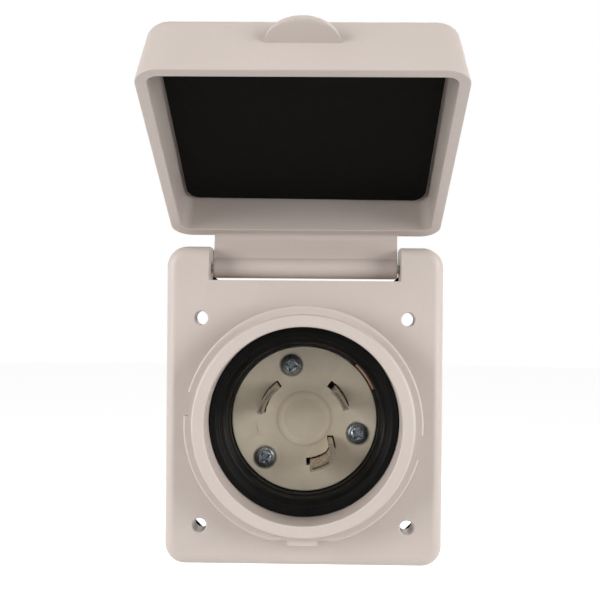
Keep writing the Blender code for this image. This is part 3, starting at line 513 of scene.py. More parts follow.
def black_rubber(name, grey=0.0045, roughness=0.5):
    """Moulded rubber: nearly black, with a fine tooth and a dusty bloom."""
    look = Look(name, roughness)
    bloom = look.spread(look.noise(9 * MM, 6), 0.42, 0.72, 0, 1)
    dark = (grey, grey, grey * 1.02)
    look.colour(look.blend(bloom, dark, (grey * 1.7, grey * 1.65, grey * 1.6)))
    look.roughness(look.spread(bloom, 0, 1, roughness - 0.08, roughness + 0.12))
    look.bump(look.noise(0.25 * MM, 4), 0.02 * MM)
    look.shader.inputs["Specular IOR Level"].default_value = 0.16
    return look.material


def closed_foam(name):
    """Closed-cell foam rubber: matt black skin with small pores, which are painted darker as
    painted shade.
    """
    look = Look(name, 0.9)
    pores = look.spread(look.cells(0.55 * MM), 0.05, 0.45, 0, 1)
    cloud = look.spread(look.noise(14 * MM, 5), 0.35, 0.65, 0, 1)
    skin = look.blend(cloud, (0.0045, 0.0043, 0.0038), (0.0075, 0.0071, 0.0062))
    # The pores are painted darker than the skin: painted shade in the dents.
    look.colour(look.blend(pores, (0.002, 0.002, 0.002), skin))
    look.roughness(look.spread(cloud, 0, 1, 0.82, 0.98))
    look.bump(pores, 0.08 * MM, 0.6)
    look.bump(look.noise(0.3 * MM, 4), 0.03 * MM, 0.5)
    look.shader.inputs["Specular IOR Level"].default_value = 0.1
    return look.material


def nylon(name):
    """Ivory nylon, slightly cloudy and a little translucent, with its edges painted paler as a
    painted highlight.
    """
    colour = (0.76, 0.69, 0.56)
    look = Look(name, 0.4)
    cloud = look.spread(look.noise(7 * MM, 5), 0.3, 0.7, 0, 1)
    base = look.blend(cloud, shade(colour, 0.93), shade(colour, 1.04))
    # Edges that stand out are painted paler: a painted highlight.
    painted_edge_light = look.spread(look.edges(), 0, 1, 0.0, 0.35)
    look.colour(look.blend(painted_edge_light, base, shade(colour, 1.12)))
    look.roughness(look.spread(look.noise(2.5 * MM, 5), 0.3, 0.7, 0.34, 0.5))
    look.bump(look.noise(0.5 * MM, 3), 0.01 * MM)
    look.bump(look.noise(8 * MM, 2), 0.06 * MM, 0.4)
    look.shader.inputs["Subsurface Weight"].default_value = 0.35
    look.shader.inputs["Subsurface Radius"].default_value = (1.0, 0.8, 0.5)
    look.shader.inputs["Subsurface Scale"].default_value = 1.2 * MM
    return look.material


def metal(name, colour, tint, roughness, stretch=(1, 1, 1), scratch=0.01 * MM):
    """Plated or drawn metal: tinted in patches, finely scratched along its grain, and with its
    edges painted paler as a painted highlight.
    """
    look = Look(name, roughness, 1.0)
    patch = look.spread(look.noise(3.2 * MM, 5), 0.35, 0.65, 0, 1)
    base = look.blend(patch, colour, tint)
    # Edges that stand out are painted paler: a painted highlight.
    painted_edge_highlight = look.spread(look.edges(), 0, 1, 0, 0.5)
    look.colour(look.blend(painted_edge_highlight, base, shade(colour, 1.15)))
    drawn = look.noise(0.3 * MM, 4, stretch)
    look.roughness(look.spread(drawn, 0.3, 0.7, roughness - 0.07, roughness + 0.12))
    look.bump(drawn, scratch, 0.5)
    return look.material


WHITE = moulded_plastic("warm_white_plastic", (0.60, 0.525, 0.48), 0.42)
BLACK = moulded_plastic("black_thermoset", (0.02, 0.02, 0.022), 0.45)
RUBBER = black_rubber("black_rubber_parts")
FOAM = closed_foam("black_closed_foam")
NYLON = nylon("ivory_nylon")
NICKEL = metal("nickel_plate", (0.56, 0.47, 0.37), (0.40, 0.32, 0.24), 0.22, (1, 0.08, 1),
               0.001 * MM)
ZINC = metal("zinc_plate", (0.40, 0.45, 0.49), (0.24, 0.28, 0.31), 0.3)
BRASS = metal("plain_brass", (0.70, 0.50, 0.22), (0.55, 0.36, 0.14), 0.3)
COPPER = metal("bonding_copper", (0.78, 0.50, 0.36), (0.64, 0.38, 0.26), 0.45)
STEEL = metal("stainless_pin", (0.58, 0.57, 0.56), (0.46, 0.46, 0.46), 0.26, (0.05, 1, 1))


# Flange plate with its collar


def plate_shell():
    """The flange: a shallow tray that opens backwards, with its front edge rounded over."""

    def outline(inset, depth):
        points = rounded_rectangle(PLATE_WIDTH - 2 * inset, PLATE_HEIGHT - 2 * inset,
                                   PLATE_CORNER - inset, (0, PLATE_MIDDLE))
        return [(x, y_at(depth), z) for x, z in points]

    foot = 0.3 * MM
    loops = [outline(PLATE_SKIRT, PLATE_WALL), outline(PLATE_SKIRT, PLATE_DEPTH - foot),
             outline(PLATE_SKIRT - foot, PLATE_DEPTH), outline(foot, PLATE_DEPTH),
             outline(0, PLATE_DEPTH - foot)]
    for i in range(11):
        angle = math.radians(90 * i / 10)
        loops.append(outline(PLATE_FILLET * (1 - math.cos(angle)),
                             PLATE_FILLET * (1 - math.sin(angle))))
    return loft("flange_plate", loops)


def collar():
    """The plug collar with its bayonet flange, and the barrel behind the plate."""
    profile = [(BORE, -COLLAR_PROUD), (LIP, -COLLAR_PROUD), (LIP, FLANGE_FRONT),
               (COLLAR_FLANGE, FLANGE_FRONT), (COLLAR_FLANGE, FLANGE_BACK), (NECK, FLANGE_BACK),
               (NECK, PLATE_WALL / 2), (BARREL, PLATE_WALL / 2), (BARREL, BARREL_END),
               (BORE, BARREL_END)]
    points = [(radius, y_at(depth)) for radius, depth in profile]
    return turned("collar", eased(points, 0.7 * MM, steps=5))


def collar_cuts():
    reach = COLLAR_FLANGE + 2 * MM
    front, back = y_at(FLANGE_FRONT - 0.5 * MM), y_at(FLANGE_BACK + 0.5 * MM)
    cuts = []
    for angle in NOTCH_ANGLES:
        notch = block(f"notch_{angle}", (NOTCH_RADIUS, front, -NOTCH_HALF),
                      (reach, back, NOTCH_HALF))
        cuts.append(about_bore(notch, angle))
    cuts.append(block("flat", (-reach, front, -reach), (reach, back, FLAT_Z)))
    return cuts


def plate_supports():
    """Tubes round the mounting holes, ribs to the barrel and bosses for the housing's screws."""
    start = y_at(PLATE_WALL / 2)
    parts = []
    for side in (-1, 1):
        for end in (-1, 1):
            outline = circle(BOSS_RADIUS, (side * HOLE_REACH, end * HOLE_REACH))
            parts.append(prism(f"boss_{side}_{end}", outline, start, y_at(BOSS_END)))
    boss_edge = math.hypot(HOLE_REACH, HOLE_REACH) - BOSS_RADIUS + 1 * MM
    skirt = PLATE_WIDTH / 2 - PLATE_SKIRT / 2
    ends = {0: skirt, 180: skirt, 270: -plate_low.z - PLATE_SKIRT / 2}
    ends.update({angle: boss_edge for angle in (45, 135, 225, 315)})
    for angle, end in ends.items():
        rib = block(f"rib_{angle}", (BARREL - 1 * MM, start, -RIB_HALF),
                    (end, y_at(RIB_END), RIB_HALF))
        parts.append(about_bore(rib, angle))
    for angle in EAR_ANGLES:
        outline = circle(EAR_RADIUS, polar(EAR_CIRCLE, angle))
        parts.append(prism(f"ear_boss_{angle}", outline, start, y_at(BARREL_END)))
    half = NOTCH_WIDTH / 2 + PIN_CHEEK
    parts.append(block("hinge_seat", (-half, start, NOTCH_BOTTOM - 2.4 * MM),
                       (half, y_at(PLATE_DEPTH), plate_high.z - PLATE_SKIRT / 2)))
    return parts


def across(name, profile_half, radius, steps=SMALL_ROUND):
    """A cylinder along X through the hinge axis."""
    rod = turned(name, [(0, profile_half), (radius, profile_half), (radius, -profile_half),
                        (0, -profile_half)], steps)
    move(rod, Matrix.Rotation(math.pi / 2, 4, "Z"))
    return move(rod, Matrix.Translation(HINGE))


def flange_plate():
    plate = plate_shell()
    steps = [("-", hole("bore", (0, 0), BORE + 1 * MM, -1 * MM, 8 * MM, ROUND)),
             ("+", collar())]
    steps += [("+", part) for part in plate_supports()]
    steps += [("-", part) for part in collar_cuts()]
    half = NOTCH_WIDTH / 2
    steps.append(("-", block("hinge_notch", (-half, y_at(-1 * MM), NOTCH_BOTTOM),
                             (half, y_at(PLATE_DEPTH + 1 * MM), plate_high.z + 5 * MM))))
    pin_low, pin_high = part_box("hinge_pin")
    steps.append(("-", across("pin_bore", (pin_high.x - pin_low.x) / 2 + GAP, PIN_RADIUS + GAP)))
    for side in (-1, 1):
        for end in (-1, 1):
            centre = (side * HOLE_REACH, end * HOLE_REACH)
            steps.append(("-", flared_hole(f"mount_{side}_{end}", centre, HOLE_RADIUS, 0,
                                           BOSS_END, 0.4 * MM)))
    for angle in EAR_ANGLES:
        steps.append(("-", hole(f"thread_{angle}", polar(EAR_CIRCLE, angle), THREAD_HOLE, 6 * MM,
                                BARREL_END + 1 * MM)))
    steps.append(("+", block("catch_tab", (-TAB_HALF, y_at(FLANGE_FRONT + GAP), TAB_Z),
                             (TAB_HALF, y_at(FLANGE_BACK - GAP), FLAT_Z + 1 * MM))))
    carve(plate, steps)
    return dress(plate, "flange_and_collar", WHITE, "white_plastic", "housing", "face_plate")


def foam_gasket():
    """The foam frame between flange and wall. It runs outside the screw holes."""
    inset = 0.5 * MM
    margin = 1 * MM
    low, high = gasket_low.y, gasket_high.y
    edge = 0.35 * MM

    def outline(more, y):
        points = rounded_rectangle(PLATE_WIDTH - 2 * (inset + more),
                                   PLATE_HEIGHT - 2 * (inset + more),
                                   PLATE_CORNER - inset - more, (0, PLATE_MIDDLE))
        return [(x, y, z) for x, z in points]

    gasket = loft("gasket", [outline(edge, low), outline(0, low + edge), outline(0, high - edge),
                             outline(edge, high)])
    side = PLATE_WIDTH / 2 - GASKET_BORDER
    top = NOTCH_BOTTOM - GASKET_BORDER
    bottom = plate_low.z + GASKET_BORDER
    diagonal = GASKET_CORNER * math.sqrt(2)
    opening = [(side, diagonal - side), (diagonal - top, top), (top - diagonal, top),
               (-side, diagonal - side), (-side, side - diagonal), (-bottom - diagonal, bottom),
               (diagonal + bottom, bottom), (side, side - diagonal)]
    half = NOTCH_WIDTH / 2
    chamfer = 1.8 * MM
    above = plate_high.z + margin
    notch = [(half, above), (-half, above), (-half, NOTCH_BOTTOM + chamfer),
             (chamfer - half, NOTCH_BOTTOM), (half - chamfer, NOTCH_BOTTOM),
             (half, NOTCH_BOTTOM + chamfer)]
    carve(gasket, [("-", prism("opening", eased(opening, 2.5 * MM), low - margin, high + margin)),
                   ("-", prism("notch", notch, low - margin, high + margin))])
    return dress(gasket, "foam_gasket", FOAM, "black_foam", "housing", "mounting_gasket")


def hinge_rod():
    low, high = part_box("hinge_pin")
    half = (high.x - low.x) / 2
    tip = 0.45 * MM
    profile = eased([(0, half), (PIN_RADIUS, half), (PIN_RADIUS, -half), (0, -half)], tip, False)
    rod = turned("rod", profile, SMALL_ROUND)
    move(rod, Matrix.Translation(HINGE) @ Matrix.Rotation(math.pi / 2, 4, "Z"))
    return dress(rod, "hinge_rod", STEEL, "steel", "housing", "hinge_pin")


# Lid, modelled shut about the hinge axis


def lid_outline(inset, height, draft=LID_DRAFT, top_inset=None, corner=None):
    """The lid's outline, shut, at a height outwards from its rim."""
    side = inset + draft[0] * height
    end = inset + draft[1] * height
    top = (inset if top_inset is None else top_inset) + draft[2] * height
    length = LID_LENGTH - top - end
    middle = -LID_TOP - top - length / 2
    points = rounded_rectangle(LID_WIDTH - 2 * side, length, corner or LID_CORNER - inset,
                               (0, middle))
    return [(x, -HINGE_DEPTH - RIM_GAP - height, z) for x, z in points]


def lid_hollow(inset, height, corner=None):
    """The outline of the lid's inside, whose wall is thicker along the hinge."""
    return lid_outline(inset, height, LID_INNER_DRAFT, LID_HINGE_WALL - LID_WALL + inset, corner)


def lid_shell():
    rim = 0.35 * MM
    blend = 1.6 * MM
    loops = []
    for i in range(7):
        angle = math.radians(90 * i / 6)
        loops.append(lid_hollow(LID_WALL + blend * (1 - math.sin(angle)),
                                LID_CEILING - blend * (1 - math.cos(angle))))
    for i in range(5):
        angle = math.radians(90 * i / 4)
        loops.append(lid_hollow(LID_WALL - rim * (1 - math.cos(angle)),
                                rim * (1 - math.sin(angle))))
    for i in range(5):
        angle = math.radians(90 * i / 4)
        loops.append(lid_outline(rim * (1 - math.sin(angle)), rim * (1 - math.cos(angle))))
    for i in range(13):
        angle = math.radians(90 * i / 12)
        inset = LID_FILLET * (1 - math.cos(angle))
        loops.append(lid_outline(inset, LID_HEIGHT - LID_FILLET * (1 - math.sin(angle))))
    return loft("shell", loops)


def lid_grip():
    """The finger lip: a half moon that grows out of the lid's end, sloped underneath."""
    width, high, out = GRIP_SIZE
    slope = math.tan(math.radians(GRIP_SLOPE))
    root = 1.2 * MM
    meet = math.atan2(high, out * slope)
    crease = Vector((-high * math.cos(meet), -out * math.sin(meet)))
    section = []
    for i in range(17):
        angle = meet * GRIP_SOFT * i / 16
        section.append((-high * math.cos(angle), -out * math.sin(angle)))
    start, end = Vector(section[-1]), crease * GRIP_SOFT
    for step in range(1, 13):
        t = step / 12
        section.append(tuple(start * (1 - t) ** 2 + crease * 2 * t * (1 - t) + end * t ** 2))
    section += [tuple(end * keep) for keep in (0.75, 0.5, 0.25, 0)]
    loops = []
    for i in range(49):
        turn = math.pi * i / 48
        scale = max(0.03, math.sin(turn))
        x = -width * math.cos(turn)
        loops.append([(x, y * scale, z * scale) for y, z in section]
                     + [(x, root * slope, root), (x, -high * scale, root)])
    grip = loft("grip", loops)
    return move(grip, Matrix.Translation((0, -HINGE_DEPTH - RIM_GAP - GRIP_ROOT,
                                          -LID_TOP - LID_LENGTH + LID_DRAFT[1] * GRIP_ROOT)))


def lid_leaf():
    """The hinge leaf, from the knuckle along the outside of the lid's upper wall."""
    near = 0.05 * MM - LEAF_BELOW
    far = LEAF_THICKNESS - LEAF_BELOW
    rim = -HINGE_DEPTH - RIM_GAP
    fillet = 1.8 * MM
    inside = -LID_TOP - LID_HINGE_WALL / 2
    ramp = rim - LEAF_OVERLAP - 2 * MM
    corner = arc(fillet, 90, 0, 8, (rim + fillet, near - fillet))
    blend = [(rim + fillet - (y - rim - fillet), z) for y, z in corner]
    outline = [(0, near)] + blend + [(rim, inside), (ramp, inside), (ramp, -LID_TOP - 0.5 * MM),
                                     (rim - LEAF_OVERLAP, far), (0, far)]
    return side_prism("leaf", outline, KNUCKLE_HALF)


def lid_knuckle():
    profile = [(0, KNUCKLE_HALF), (KNUCKLE_RADIUS, KNUCKLE_HALF),
               (KNUCKLE_RADIUS, -KNUCKLE_HALF), (0, -KNUCKLE_HALF)]
    knuckle = turned("knuckle", eased(profile, 0.8 * MM, False), 64)
    return move(knuckle, Matrix.Rotation(math.pi / 2, 4, "Z"))


def snap_rib():
    end = -LID_TOP - LID_LENGTH + LID_WALL
    start = HINGE_DEPTH + RIM_GAP
    top = TAB_Z - HINGE.z - 2 * GAP
    outline = [(-start - 2.5 * MM, end - 1 * MM), (-start - 2.5 * MM, end),
               (-start - 4 * MM, top), (-start - 5.5 * MM, top), (-start - 8 * MM, end),
               (-start - 8 * MM, end - 1 * MM)]
    return side_prism("snap_rib", outline, 6 * MM)


def open_lid(piece):
    """Turn a piece modelled shut about the hinge axis to where the frame's lid rests."""
    return move(piece, Matrix.Translation(HINGE) @ Matrix.Rotation(-OPEN_ANGLE, 4, "X"))


def weather_lid():
    shell = lid_shell()
    bore = turned("bore", [(0, 40 * MM), (PIN_RADIUS + GAP, 40 * MM),
                           (PIN_RADIUS + GAP, -40 * MM), (0, -40 * MM)], SMALL_ROUND)
    move(bore, Matrix.Rotation(math.pi / 2, 4, "Z"))
    carve(shell, [("+", lid_knuckle()), ("+", lid_leaf()), ("+", lid_grip()), ("+", snap_rib()),
                  ("-", bore)])
    open_lid(shell)
    return dress(shell, "weather_lid", WHITE, "white_plastic", "lid", "lid")


def lid_foam():
    """The die-cut foam pad: soft edges, a slight crown, and corners that lift by the hinge."""
    edge = 0.5 * MM
    thick = LID_CEILING - GAP
    rows = [(0.0, thick), (0.0, PAD_SURFACE + edge)]
    for i in range(1, 6):
        angle = math.radians(90 * i / 5)
        rows.append((edge * (1 - math.cos(angle)), PAD_SURFACE + edge * (1 - math.sin(angle))))
    loops = [lid_hollow(LID_WALL + PAD_MARGIN + inset, height, PAD_CORNER - inset)
             for inset, height in rows]
    crown = 0.25 * MM
    outer = loops[-1]
    middle = Vector((0, outer[0][1], sum(point[2] for point in outer) / len(outer)))
    for i in range(1, 20):
        keep = 1 - i / 20
        rise = crown * (1 - keep ** 2)
        loops.append([(x * keep, y + rise, middle.z + (z - middle.z) * keep)
                      for x, y, z in outer])
    pad = loft("pad", loops)
    top = max(vert.co.z for vert in pad.data.vertices)
    half = LID_WIDTH / 2
    for vert in pad.data.vertices:
        near = max(0.0, 1 - (top - vert.co.z) / PAD_LIFT_REACH)
        across = vert.co.x / half
        lift = PAD_LIFT[0] + PAD_LIFT[1] * across + PAD_LIFT[2] * across ** 2
        front = min(1.0, max(0.0, (vert.co.y + HINGE_DEPTH + RIM_GAP + thick) / (1.0 * MM)))
        vert.co.y += near ** 2 * lift * front
        vert.co.y += 0.04 * MM * math.sin(vert.co.x * 190) * math.cos(vert.co.z * 230)
    open_lid(pad)
    dress(pad, "lid_foam_pad", FOAM, "black_foam", "lid", "lid_pad")
    return pad


# Plug end


def bore_seal():
    """The stepped rubber ring between the bore and the insulator's face."""
    steps = [(radius * MM, depth * MM) for radius, depth in RING_STEPS]
    outer, inner = BORE - GAP, steps[-1][0]
    profile = [(outer, RING_BACK), (outer, steps[0][1])] + steps + [(inner, RING_BACK)]
    ring = turned("ring", eased([(radius, y_at(depth)) for radius, depth in profile],
                                0.3 * MM, steps=3))
    start, stop = STRIP_ANGLES
    pocket = band(FACE_RADIUS - 1 * MM, STRIP_RADII[1] + GAP, start - 1, stop + 1)
    carve(ring, [("-", prism("pocket", pocket, y_at(7.5 * MM), y_at(RING_BACK + 1 * MM)))])
    return dress(ring, "bore_seal", RUBBER, "black_rubber", "housing", "sealing_ring")


def ground_outline(inner, outer, start, stop, margin):
    """The grounding blade's outline: a curved strip with a leg that leans in at its right end."""
    low_right, high_right, high_left, low_left = LEG
    leg = [(low_right[0] + margin, low_right[1]), (high_right[0] + margin, high_right[1] + margin),
           (high_left[0] - margin, high_left[1] + margin), (low_left[0] - margin, low_left[1])]
    return arc(outer, start, stop, 16) + leg + arc(inner, LEG_STOP, start, 14)


def blade_outline(name, inner, outer, angles, margin):
    if name == "ground":
        return ground_outline(inner, outer, *angles, margin)
    return band(inner, outer, *angles)


def inlet_face():
    """The nylon face: a disc on a wider flange, with a raised ring round its middle."""
    face, back = y_at(FACE_DEPTH), y_at(JOINT_DEPTH)
    shoulder = y_at(RING_BACK + GAP)
    high = face - BUTTON_RISE
    dish, inner, outer, foot = BUTTON
    profile = [(0, high + BUTTON_DISH), (dish, high + BUTTON_DISH), (inner, high), (outer, high),
               (foot, face), (FACE_RADIUS, face), (FACE_RADIUS, shoulder),
               (FACE_FLANGE, shoulder), (FACE_FLANGE, back), (0, back)]
    disc = turned("disc", eased(profile, 0.4 * MM, False))
    steps = []
    for name in BLADE_ANGLES:
        outline = blade_outline(name, BLADE_INNER - SLOT_MARGIN, BLADE_OUTER + SLOT_MARGIN,
                                SLOT_ANGLES[name], SLOT_MARGIN)
        steps.append(("-", prism(f"slot_{name}", outline, face - 3 * MM, back + 1 * MM)))
    for angle in SCREW_ANGLES:
        centre = polar(SCREW_CIRCLE, angle)
        steps.append(("-", hole(f"screw_{angle}", centre, THREAD_HOLE, 10 * MM, 22 * MM)))
        steps.append(("-", hole(f"seat_{angle}", centre, SEAT_RADIUS, 10 * MM, SEAT_DEPTH)))
    steps.append(("-", hole("mark", polar(*MARK_PLACE), MARK_RADIUS, 10 * MM,
                            FACE_DEPTH + 0.2 * MM)))
    start, stop = STRIP_ANGLES
    slot = band(STRIP_RADII[0] - GAP, STRIP_RADII[1] + GAP, start - 1, stop + 1)
    steps.append(("-", prism("strip", slot, y_at(RING_BACK), y_at(30 * MM))))
    carve(disc, steps)
    return dress(disc, "inlet_face", NYLON, "nylon", "housing", "front_insulator")


def inlet_blade(name):
    """A folded locking blade: two leaves with a groove between them, and its terminal behind."""
    tip = y_at(BLADE_TIP)
    seat = y_at(INSULATOR_BACK + GAP)
    angles = BLADE_ANGLES[name]
    outline = blade_outline(name, BLADE_INNER, BLADE_OUTER, angles, 0)
    body = prism(name, outline, tip, seat + 0.5 * MM)
    inset = 0.58 * MM
    inner, outer = BLADE_INNER + inset, BLADE_OUTER - inset
    middle = (angles[0] + 2.5, angles[1] - 2.5)
    steps = [("-", prism("fold", band(inner, outer, *middle), tip - 1 * MM, tip + 2.5 * MM))]
    plate = block("terminal", (BLADE_INNER, seat, -TERMINAL_HALF),
                  (TERMINAL_RADIUS + TERMINAL_HALF, seat + 1.5 * MM, TERMINAL_HALF))
    steps.append(("+", about_bore(plate, TERMINAL_ANGLES[name])))
    centre = polar(TERMINAL_RADIUS, TERMINAL_ANGLES[name])
    steps.append(("-", hole("screw", centre, 2.0 * MM, INSULATOR_BACK - 1 * MM, 42 * MM)))
    carve(body, steps, 0.22 * MM)
    return dress(body, f"inlet_blade_{name}", NICKEL, "nickel", "housing", f"blade_{name}")


def bonding_strip():
    outline = band(*STRIP_RADII, *STRIP_ANGLES)
    strip = carve(prism("strip", outline, y_at(12.6 * MM), y_at(29.5 * MM)), [], 0.15 * MM)
    return dress(strip, "bonding_strip", COPPER, "copper", "housing", "contact_strip")


# Screws


def cross(reach, half):
    """A Phillips cross, seen from the front."""
    outline = []
    for quarter in range(4):
        turn = math.radians(90 * quarter)
        for x, z in ((reach, -half), (reach, half), (half * 1.25, half * 1.25)):
            outline.append((x * math.cos(turn) - z * math.sin(turn),
                            x * math.sin(turn) + z * math.cos(turn)))
    return outline


def pan_screw(name, head, height, shank, length, reach):
    """A pan-head screw along Y, its head's seat at Y = 0 and its head towards -Y."""
    profile = [(0, -height)]
    for i in range(10):
        angle = math.radians(90 * i / 9)
        profile.append((head * (0.3 + 0.46 * math.sin(angle)),
                        -height * (0.42 + 0.58 * math.cos(angle))))
    profile += [(head * 0.94, -height * 0.3), (head, -height * 0.16), (head - 0.15 * MM, 0),
                (shank, 0)]
    first = THREAD_PITCH / 2
    turns = int((length - shank) / THREAD_PITCH)
    for i in range(turns):
        y = first + i * THREAD_PITCH
        profile += [(shank, y), (shank - THREAD_DEPTH, y + THREAD_PITCH / 2)]
    profile += [(shank, first + turns * THREAD_PITCH), (shank * 0.5, length), (0, length)]
    screw = turned(name, profile, 48)
    outline = cross(reach, 0.46 * MM)
    depth = height * 0.6
    loops = [[(x * scale, y, z * scale) for x, z in outline]
             for scale, y in ((1.1, -height - 0.1 * MM), (1.0, -height + 0.1 * MM),
                              (0.6, depth - height))]
    return carve(screw, [("-", loft("recess", loops))], 0.06 * MM, 50)


def place_screws(names, nodes, matrices, sizes):
    for name, node, matrix in zip(names, nodes, matrices):
        screw = move(pan_screw(name, *sizes), matrix)
        dress(screw, name, ZINC, "zinc", "housing", node)


def face_screws():
    seat = y_at(SEAT_DEPTH - GAP)
    matrices = []
    for angle, turn in zip(SCREW_ANGLES, SCREW_TURNS):
        x, z = polar(SCREW_CIRCLE, angle)
        matrices.append(Matrix.Translation((x, seat, z))
                        @ Matrix.Rotation(math.radians(turn), 4, "Y"))
    place_screws([f"inlet_screw_{i}" for i in (1, 2, 3)], [f"face_screw_{i}" for i in (1, 2, 3)],
                 matrices, FACE_SCREW)


def housing_screws():
    seat = y_at(HOUSING_FRONT) + EAR_THICKNESS + GAP
    matrices = []
    for angle in EAR_ANGLES:
        x, z = polar(EAR_CIRCLE, angle)
        matrices.append(Matrix.Translation((x, seat, z)) @ Matrix.Rotation(math.pi, 4, "Z")
                        @ Matrix.Rotation(math.radians(angle), 4, "Y"))
    place_screws([f"cup_screw_{i}" for i in (1, 2, 3)], [f"housing_screw_{i}" for i in (1, 2, 3)],
                 matrices, CUP_SCREW)


def clamp_screws():
    middle = y_at((SADDLE_START + SADDLE_END) / 2)
    seat = 0.8 * MM + SADDLE_EAR + GAP
    matrices = [Matrix.Translation((side * CLAMP_X, middle, seat))
                @ Matrix.Rotation(-math.pi / 2, 4, "X")
                @ Matrix.Rotation(0.5 + side * 0.3, 4, "Y") for side in (-1, 1)]
    place_screws([f"strap_screw_{i}" for i in (1, 2)], [f"clamp_screw_{i}" for i in (1, 2)],
                 matrices, STRAP_SCREW)


# Rear housing


def cup_seal():
    inner = 31.2 * MM
    start, stop = BARREL_END + GAP, HOUSING_FRONT - GAP
    points = [(inner, start), (BARREL, start), (BARREL, stop), (inner, stop)]
    seal = turned("seal", eased([(radius, y_at(depth)) for radius, depth in points], 0.3 * MM))
    steps = []
    for angle in EAR_ANGLES:
        steps.append(("+", hole(f"ear_{angle}", polar(EAR_CIRCLE, angle), EAR_RADIUS, start,
                                stop)))
    for angle in EAR_ANGLES:
        steps.append(("-", hole(f"cut_{angle}", polar(EAR_CIRCLE, angle), LOOSE_HOLE, BARREL_END,
                                HOUSING_FRONT)))
    carve(seal, steps)
    return dress(seal, "cup_seal", RUBBER, "black_rubber", "housing", "housing_seal")


def saddle_outline(side):
    """Half of the cord clamp across its length: an arch between two ears."""
    split = 0.8 * MM
    ear = split + SADDLE_EAR
    meet = math.degrees(math.asin(ear / ARCH))
    mouth = math.degrees(math.asin(split / CHANNEL))
    outline = [(SADDLE_HALF, split), (SADDLE_HALF, ear)]
    outline += arc(ARCH, meet, 180 - meet, 32)
    outline += [(-SADDLE_HALF, ear), (-SADDLE_HALF, split)]
    outline += arc(CHANNEL, 180 - mouth, mouth, 32)
    return [(x, side * z) for x, z in outline]


def rear_cup():
    """The cup over the terminals, with screw ears in front and the cord's saddle behind."""
    wall = HOUSING_OUTER - HOUSING_INNER
    slope = HOUSING_BACK - HOUSING_TAPER
    end_inner, end_outer = HOUSING_END
    profile = [(HOUSING_INNER, HOUSING_FRONT), (BARREL, HOUSING_FRONT),
               (BARREL, HOUSING_FRONT + EAR_THICKNESS),
               (HOUSING_OUTER, HOUSING_FRONT + EAR_THICKNESS), (HOUSING_OUTER, slope),
               (end_outer, HOUSING_BACK), (TUBE_OUTER, HOUSING_BACK), (TUBE_OUTER, TUBE_END),
               (TUBE_INNER, TUBE_END), (TUBE_INNER, HOUSING_BACK - wall),
               (end_inner, HOUSING_BACK - wall), (HOUSING_INNER, slope)]
    points = [(radius, y_at(depth)) for radius, depth in profile]
    cup = turned("cup", eased(points, 0.9 * MM, steps=6))
    steps = []
    for angle in EAR_ANGLES:
        steps.append(("+", hole(f"ear_{angle}", polar(EAR_CIRCLE, angle), EAR_RADIUS,
                                HOUSING_FRONT, HOUSING_FRONT + EAR_THICKNESS)))
    saddle = prism("saddle", saddle_outline(-1), y_at(SADDLE_START), y_at(SADDLE_END))
    steps.append(("+", saddle))
    middle = y_at((SADDLE_START + SADDLE_END) / 2)
    for side in (-1, 1):
        centre = (side * CLAMP_X, middle)
        steps.append(("+", upright(f"boss_{side}", circle(4 * MM), -12.5 * MM, -1.2 * MM,
                                   centre)))
    for side in (-1, 1):
        centre = (side * CLAMP_X, middle)
        steps.append(("-", upright(f"thread_{side}", circle(THREAD_HOLE), -11 * MM, 0, centre)))
    for angle in EAR_ANGLES:
        steps.append(("-", hole(f"cut_{angle}", polar(EAR_CIRCLE, angle), THREAD_HOLE,
                                HOUSING_FRONT - 1 * MM, HOUSING_FRONT + 5 * MM)))
    for index in range(HOUSING_RIBS):
        rib = block(f"rib_{index}", (HOUSING_OUTER - 1 * MM, y_at(HOUSING_FRONT + 2 * MM),
                                     -0.7 * MM),
                    (BARREL - 0.3 * MM, y_at(slope - 1 * MM), 0.7 * MM))
        steps.append(("+", about_bore(rib, (index + 0.5) * 360 / HOUSING_RIBS)))
    carve(cup, steps, EDGE)
    return dress(cup, "rear_cup", WHITE, "white_plastic", "housing", "rear_housing")


def cord_seal():
    start, stop = HOUSING_BACK - 2 * MM, TUBE_END - 1 * MM
    outer, inner = TUBE_INNER - GAP, CHANNEL
    points = [(inner, start), (inner - 0.5 * MM, (start + stop) / 2), (inner, stop),
              (outer, stop), (outer, start)]
    seal = turned("grommet", eased([(radius, y_at(depth)) for radius, depth in points],
                                   0.5 * MM), 72)
    return dress(seal, "cord_seal", RUBBER, "black_rubber", "housing", "cord_grommet")


def cord_strap():
    """The loose upper half of the cord clamp."""
    strap = prism("strap", saddle_outline(1), y_at(TUBE_END + GAP), y_at(SADDLE_END))
    middle = y_at((SADDLE_START + SADDLE_END) / 2)
    steps = [("-", upright(f"cut_{side}", circle(LOOSE_HOLE), 0, 8 * MM,
                           (side * CLAMP_X, middle))) for side in (-1, 1)]
    carve(strap, steps, 0.3 * MM)
    return dress(strap, "cord_strap", WHITE, "white_plastic", "housing", "cord_clamp")


def inner_parts():
    """The parts shut inside the rear housing keep their solids and get finished materials."""
    looks = {"rear_insulator": BLACK}
    for name in BLADE_ANGLES:
        looks[f"terminal_clamp_{name}"] = BRASS
        looks[f"terminal_screw_{name}"] = BRASS
    for node, look in looks.items():
        frame["nodes"][node].data.materials.clear()
        frame["nodes"][node].data.materials.append(look)


# Stage


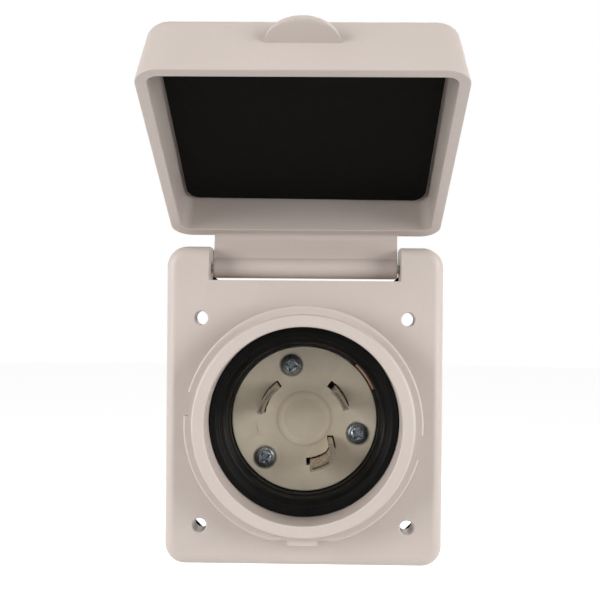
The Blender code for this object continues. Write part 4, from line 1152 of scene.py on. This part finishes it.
def pale_floor():
    """A plain floor well below the object: pale, a little greyer in front, glowing far behind."""
    floor_mesh = bmesh.new()
    bmesh.ops.create_circle(floor_mesh, cap_ends=True, radius=FLOOR_RADIUS, segments=96)
    floor = finish("floor", floor_mesh)
    floor.location.z = FLOOR_Z
    paint = Look("pale_floor", 0.9)
    axes = paint.tree.nodes.new("ShaderNodeSeparateXYZ")
    paint.link(paint.place, axes.inputs[0])
    pale = paint.blend(paint.noise(0.2, 3), (0.88, 0.88, 0.875), (0.91, 0.91, 0.905))
    front = paint.spread(axes.outputs["Y"], *FLOOR_FRONT, 0, 1)
    paint.colour(paint.blend(front, (FLOOR_GREY,) * 3, pale))
    paint.link(paint.spread(axes.outputs["Y"], *FLOOR_BACK, 0, FLOOR_GLOW),
               paint.shader.inputs["Emission Strength"])
    floor.data.materials.append(paint.material)


def studio():
    """White surroundings, dimmer where they light the front, and large soft lamps at the sides."""
    world = bpy.data.worlds.new("studio")
    bpy.context.scene.world = world
    world.use_nodes = True
    tree = world.node_tree
    background = tree.nodes["Background"]
    background.inputs["Color"].default_value = (1, 1, 1, 1)
    axes = tree.nodes.new("ShaderNodeSeparateXYZ")
    tree.links.new(tree.nodes.new("ShaderNodeTexCoord").outputs["Generated"], axes.inputs[0])

    def ramp(output, numbers):
        node = tree.nodes.new("ShaderNodeMapRange")
        for key, number in zip(("From Min", "From Max", "To Min", "To Max"), numbers):
            node.inputs[key].default_value = number
        tree.links.new(output, node.inputs["Value"])
        return node.outputs["Result"]

    sky = ramp(axes.outputs["Z"], SKY)
    front = ramp(axes.outputs["Y"], FRONT_SKY)
    light = tree.nodes.new("ShaderNodeMath")
    light.operation = "MULTIPLY"
    tree.links.new(sky, light.inputs[0])
    tree.links.new(front, light.inputs[1])
    seen = tree.nodes.new("ShaderNodeMix")
    tree.links.new(tree.nodes.new("ShaderNodeLightPath").outputs["Is Camera Ray"], seen.inputs[0])
    tree.links.new(light.outputs["Value"], seen.inputs[2])
    seen.inputs[3].default_value = 1.0
    tree.links.new(seen.outputs[0], background.inputs["Strength"])

    for name, place, power, size in LAMPS:
        light = bpy.data.lights.new(name, "AREA")
        light.energy = power
        light.size = size
        lamp = bpy.data.objects.new(name, light)
        bpy.context.scene.collection.objects.link(lamp)
        lamp.location = place
        lamp.rotation_euler = (LAMP_TARGET - Vector(place)).to_track_quat("-Z", "Y").to_euler()


def camera():
    lens = bpy.data.cameras.new("camera")
    lens.lens = CAMERA_LENS
    lens.clip_start = 0.01
    view = bpy.data.objects.new("camera", lens)
    bpy.context.scene.collection.objects.link(view)
    turn = Matrix.Identity(4)
    for degrees, axis in CAMERA_TURNS:
        turn = turn @ Matrix.Rotation(math.radians(degrees), 4, axis)
    view.matrix_world = Matrix.Translation(CAMERA_PLACE) @ turn
    bpy.context.scene.camera = view


def main():
    camera()
    pale_floor()
    studio()
    flange_plate()
    foam_gasket()
    hinge_rod()
    weather_lid()
    lid_foam()
    bore_seal()
    inlet_face()
    for name in BLADE_ANGLES:
        inlet_blade(name)
    bonding_strip()
    face_screws()
    cup_seal()
    rear_cup()
    housing_screws()
    cord_seal()
    cord_strap()
    clamp_screws()
    inner_parts()
    bpy.context.scene.view_settings.view_transform = "Standard"


main()
bpy.context.view_layer.update()
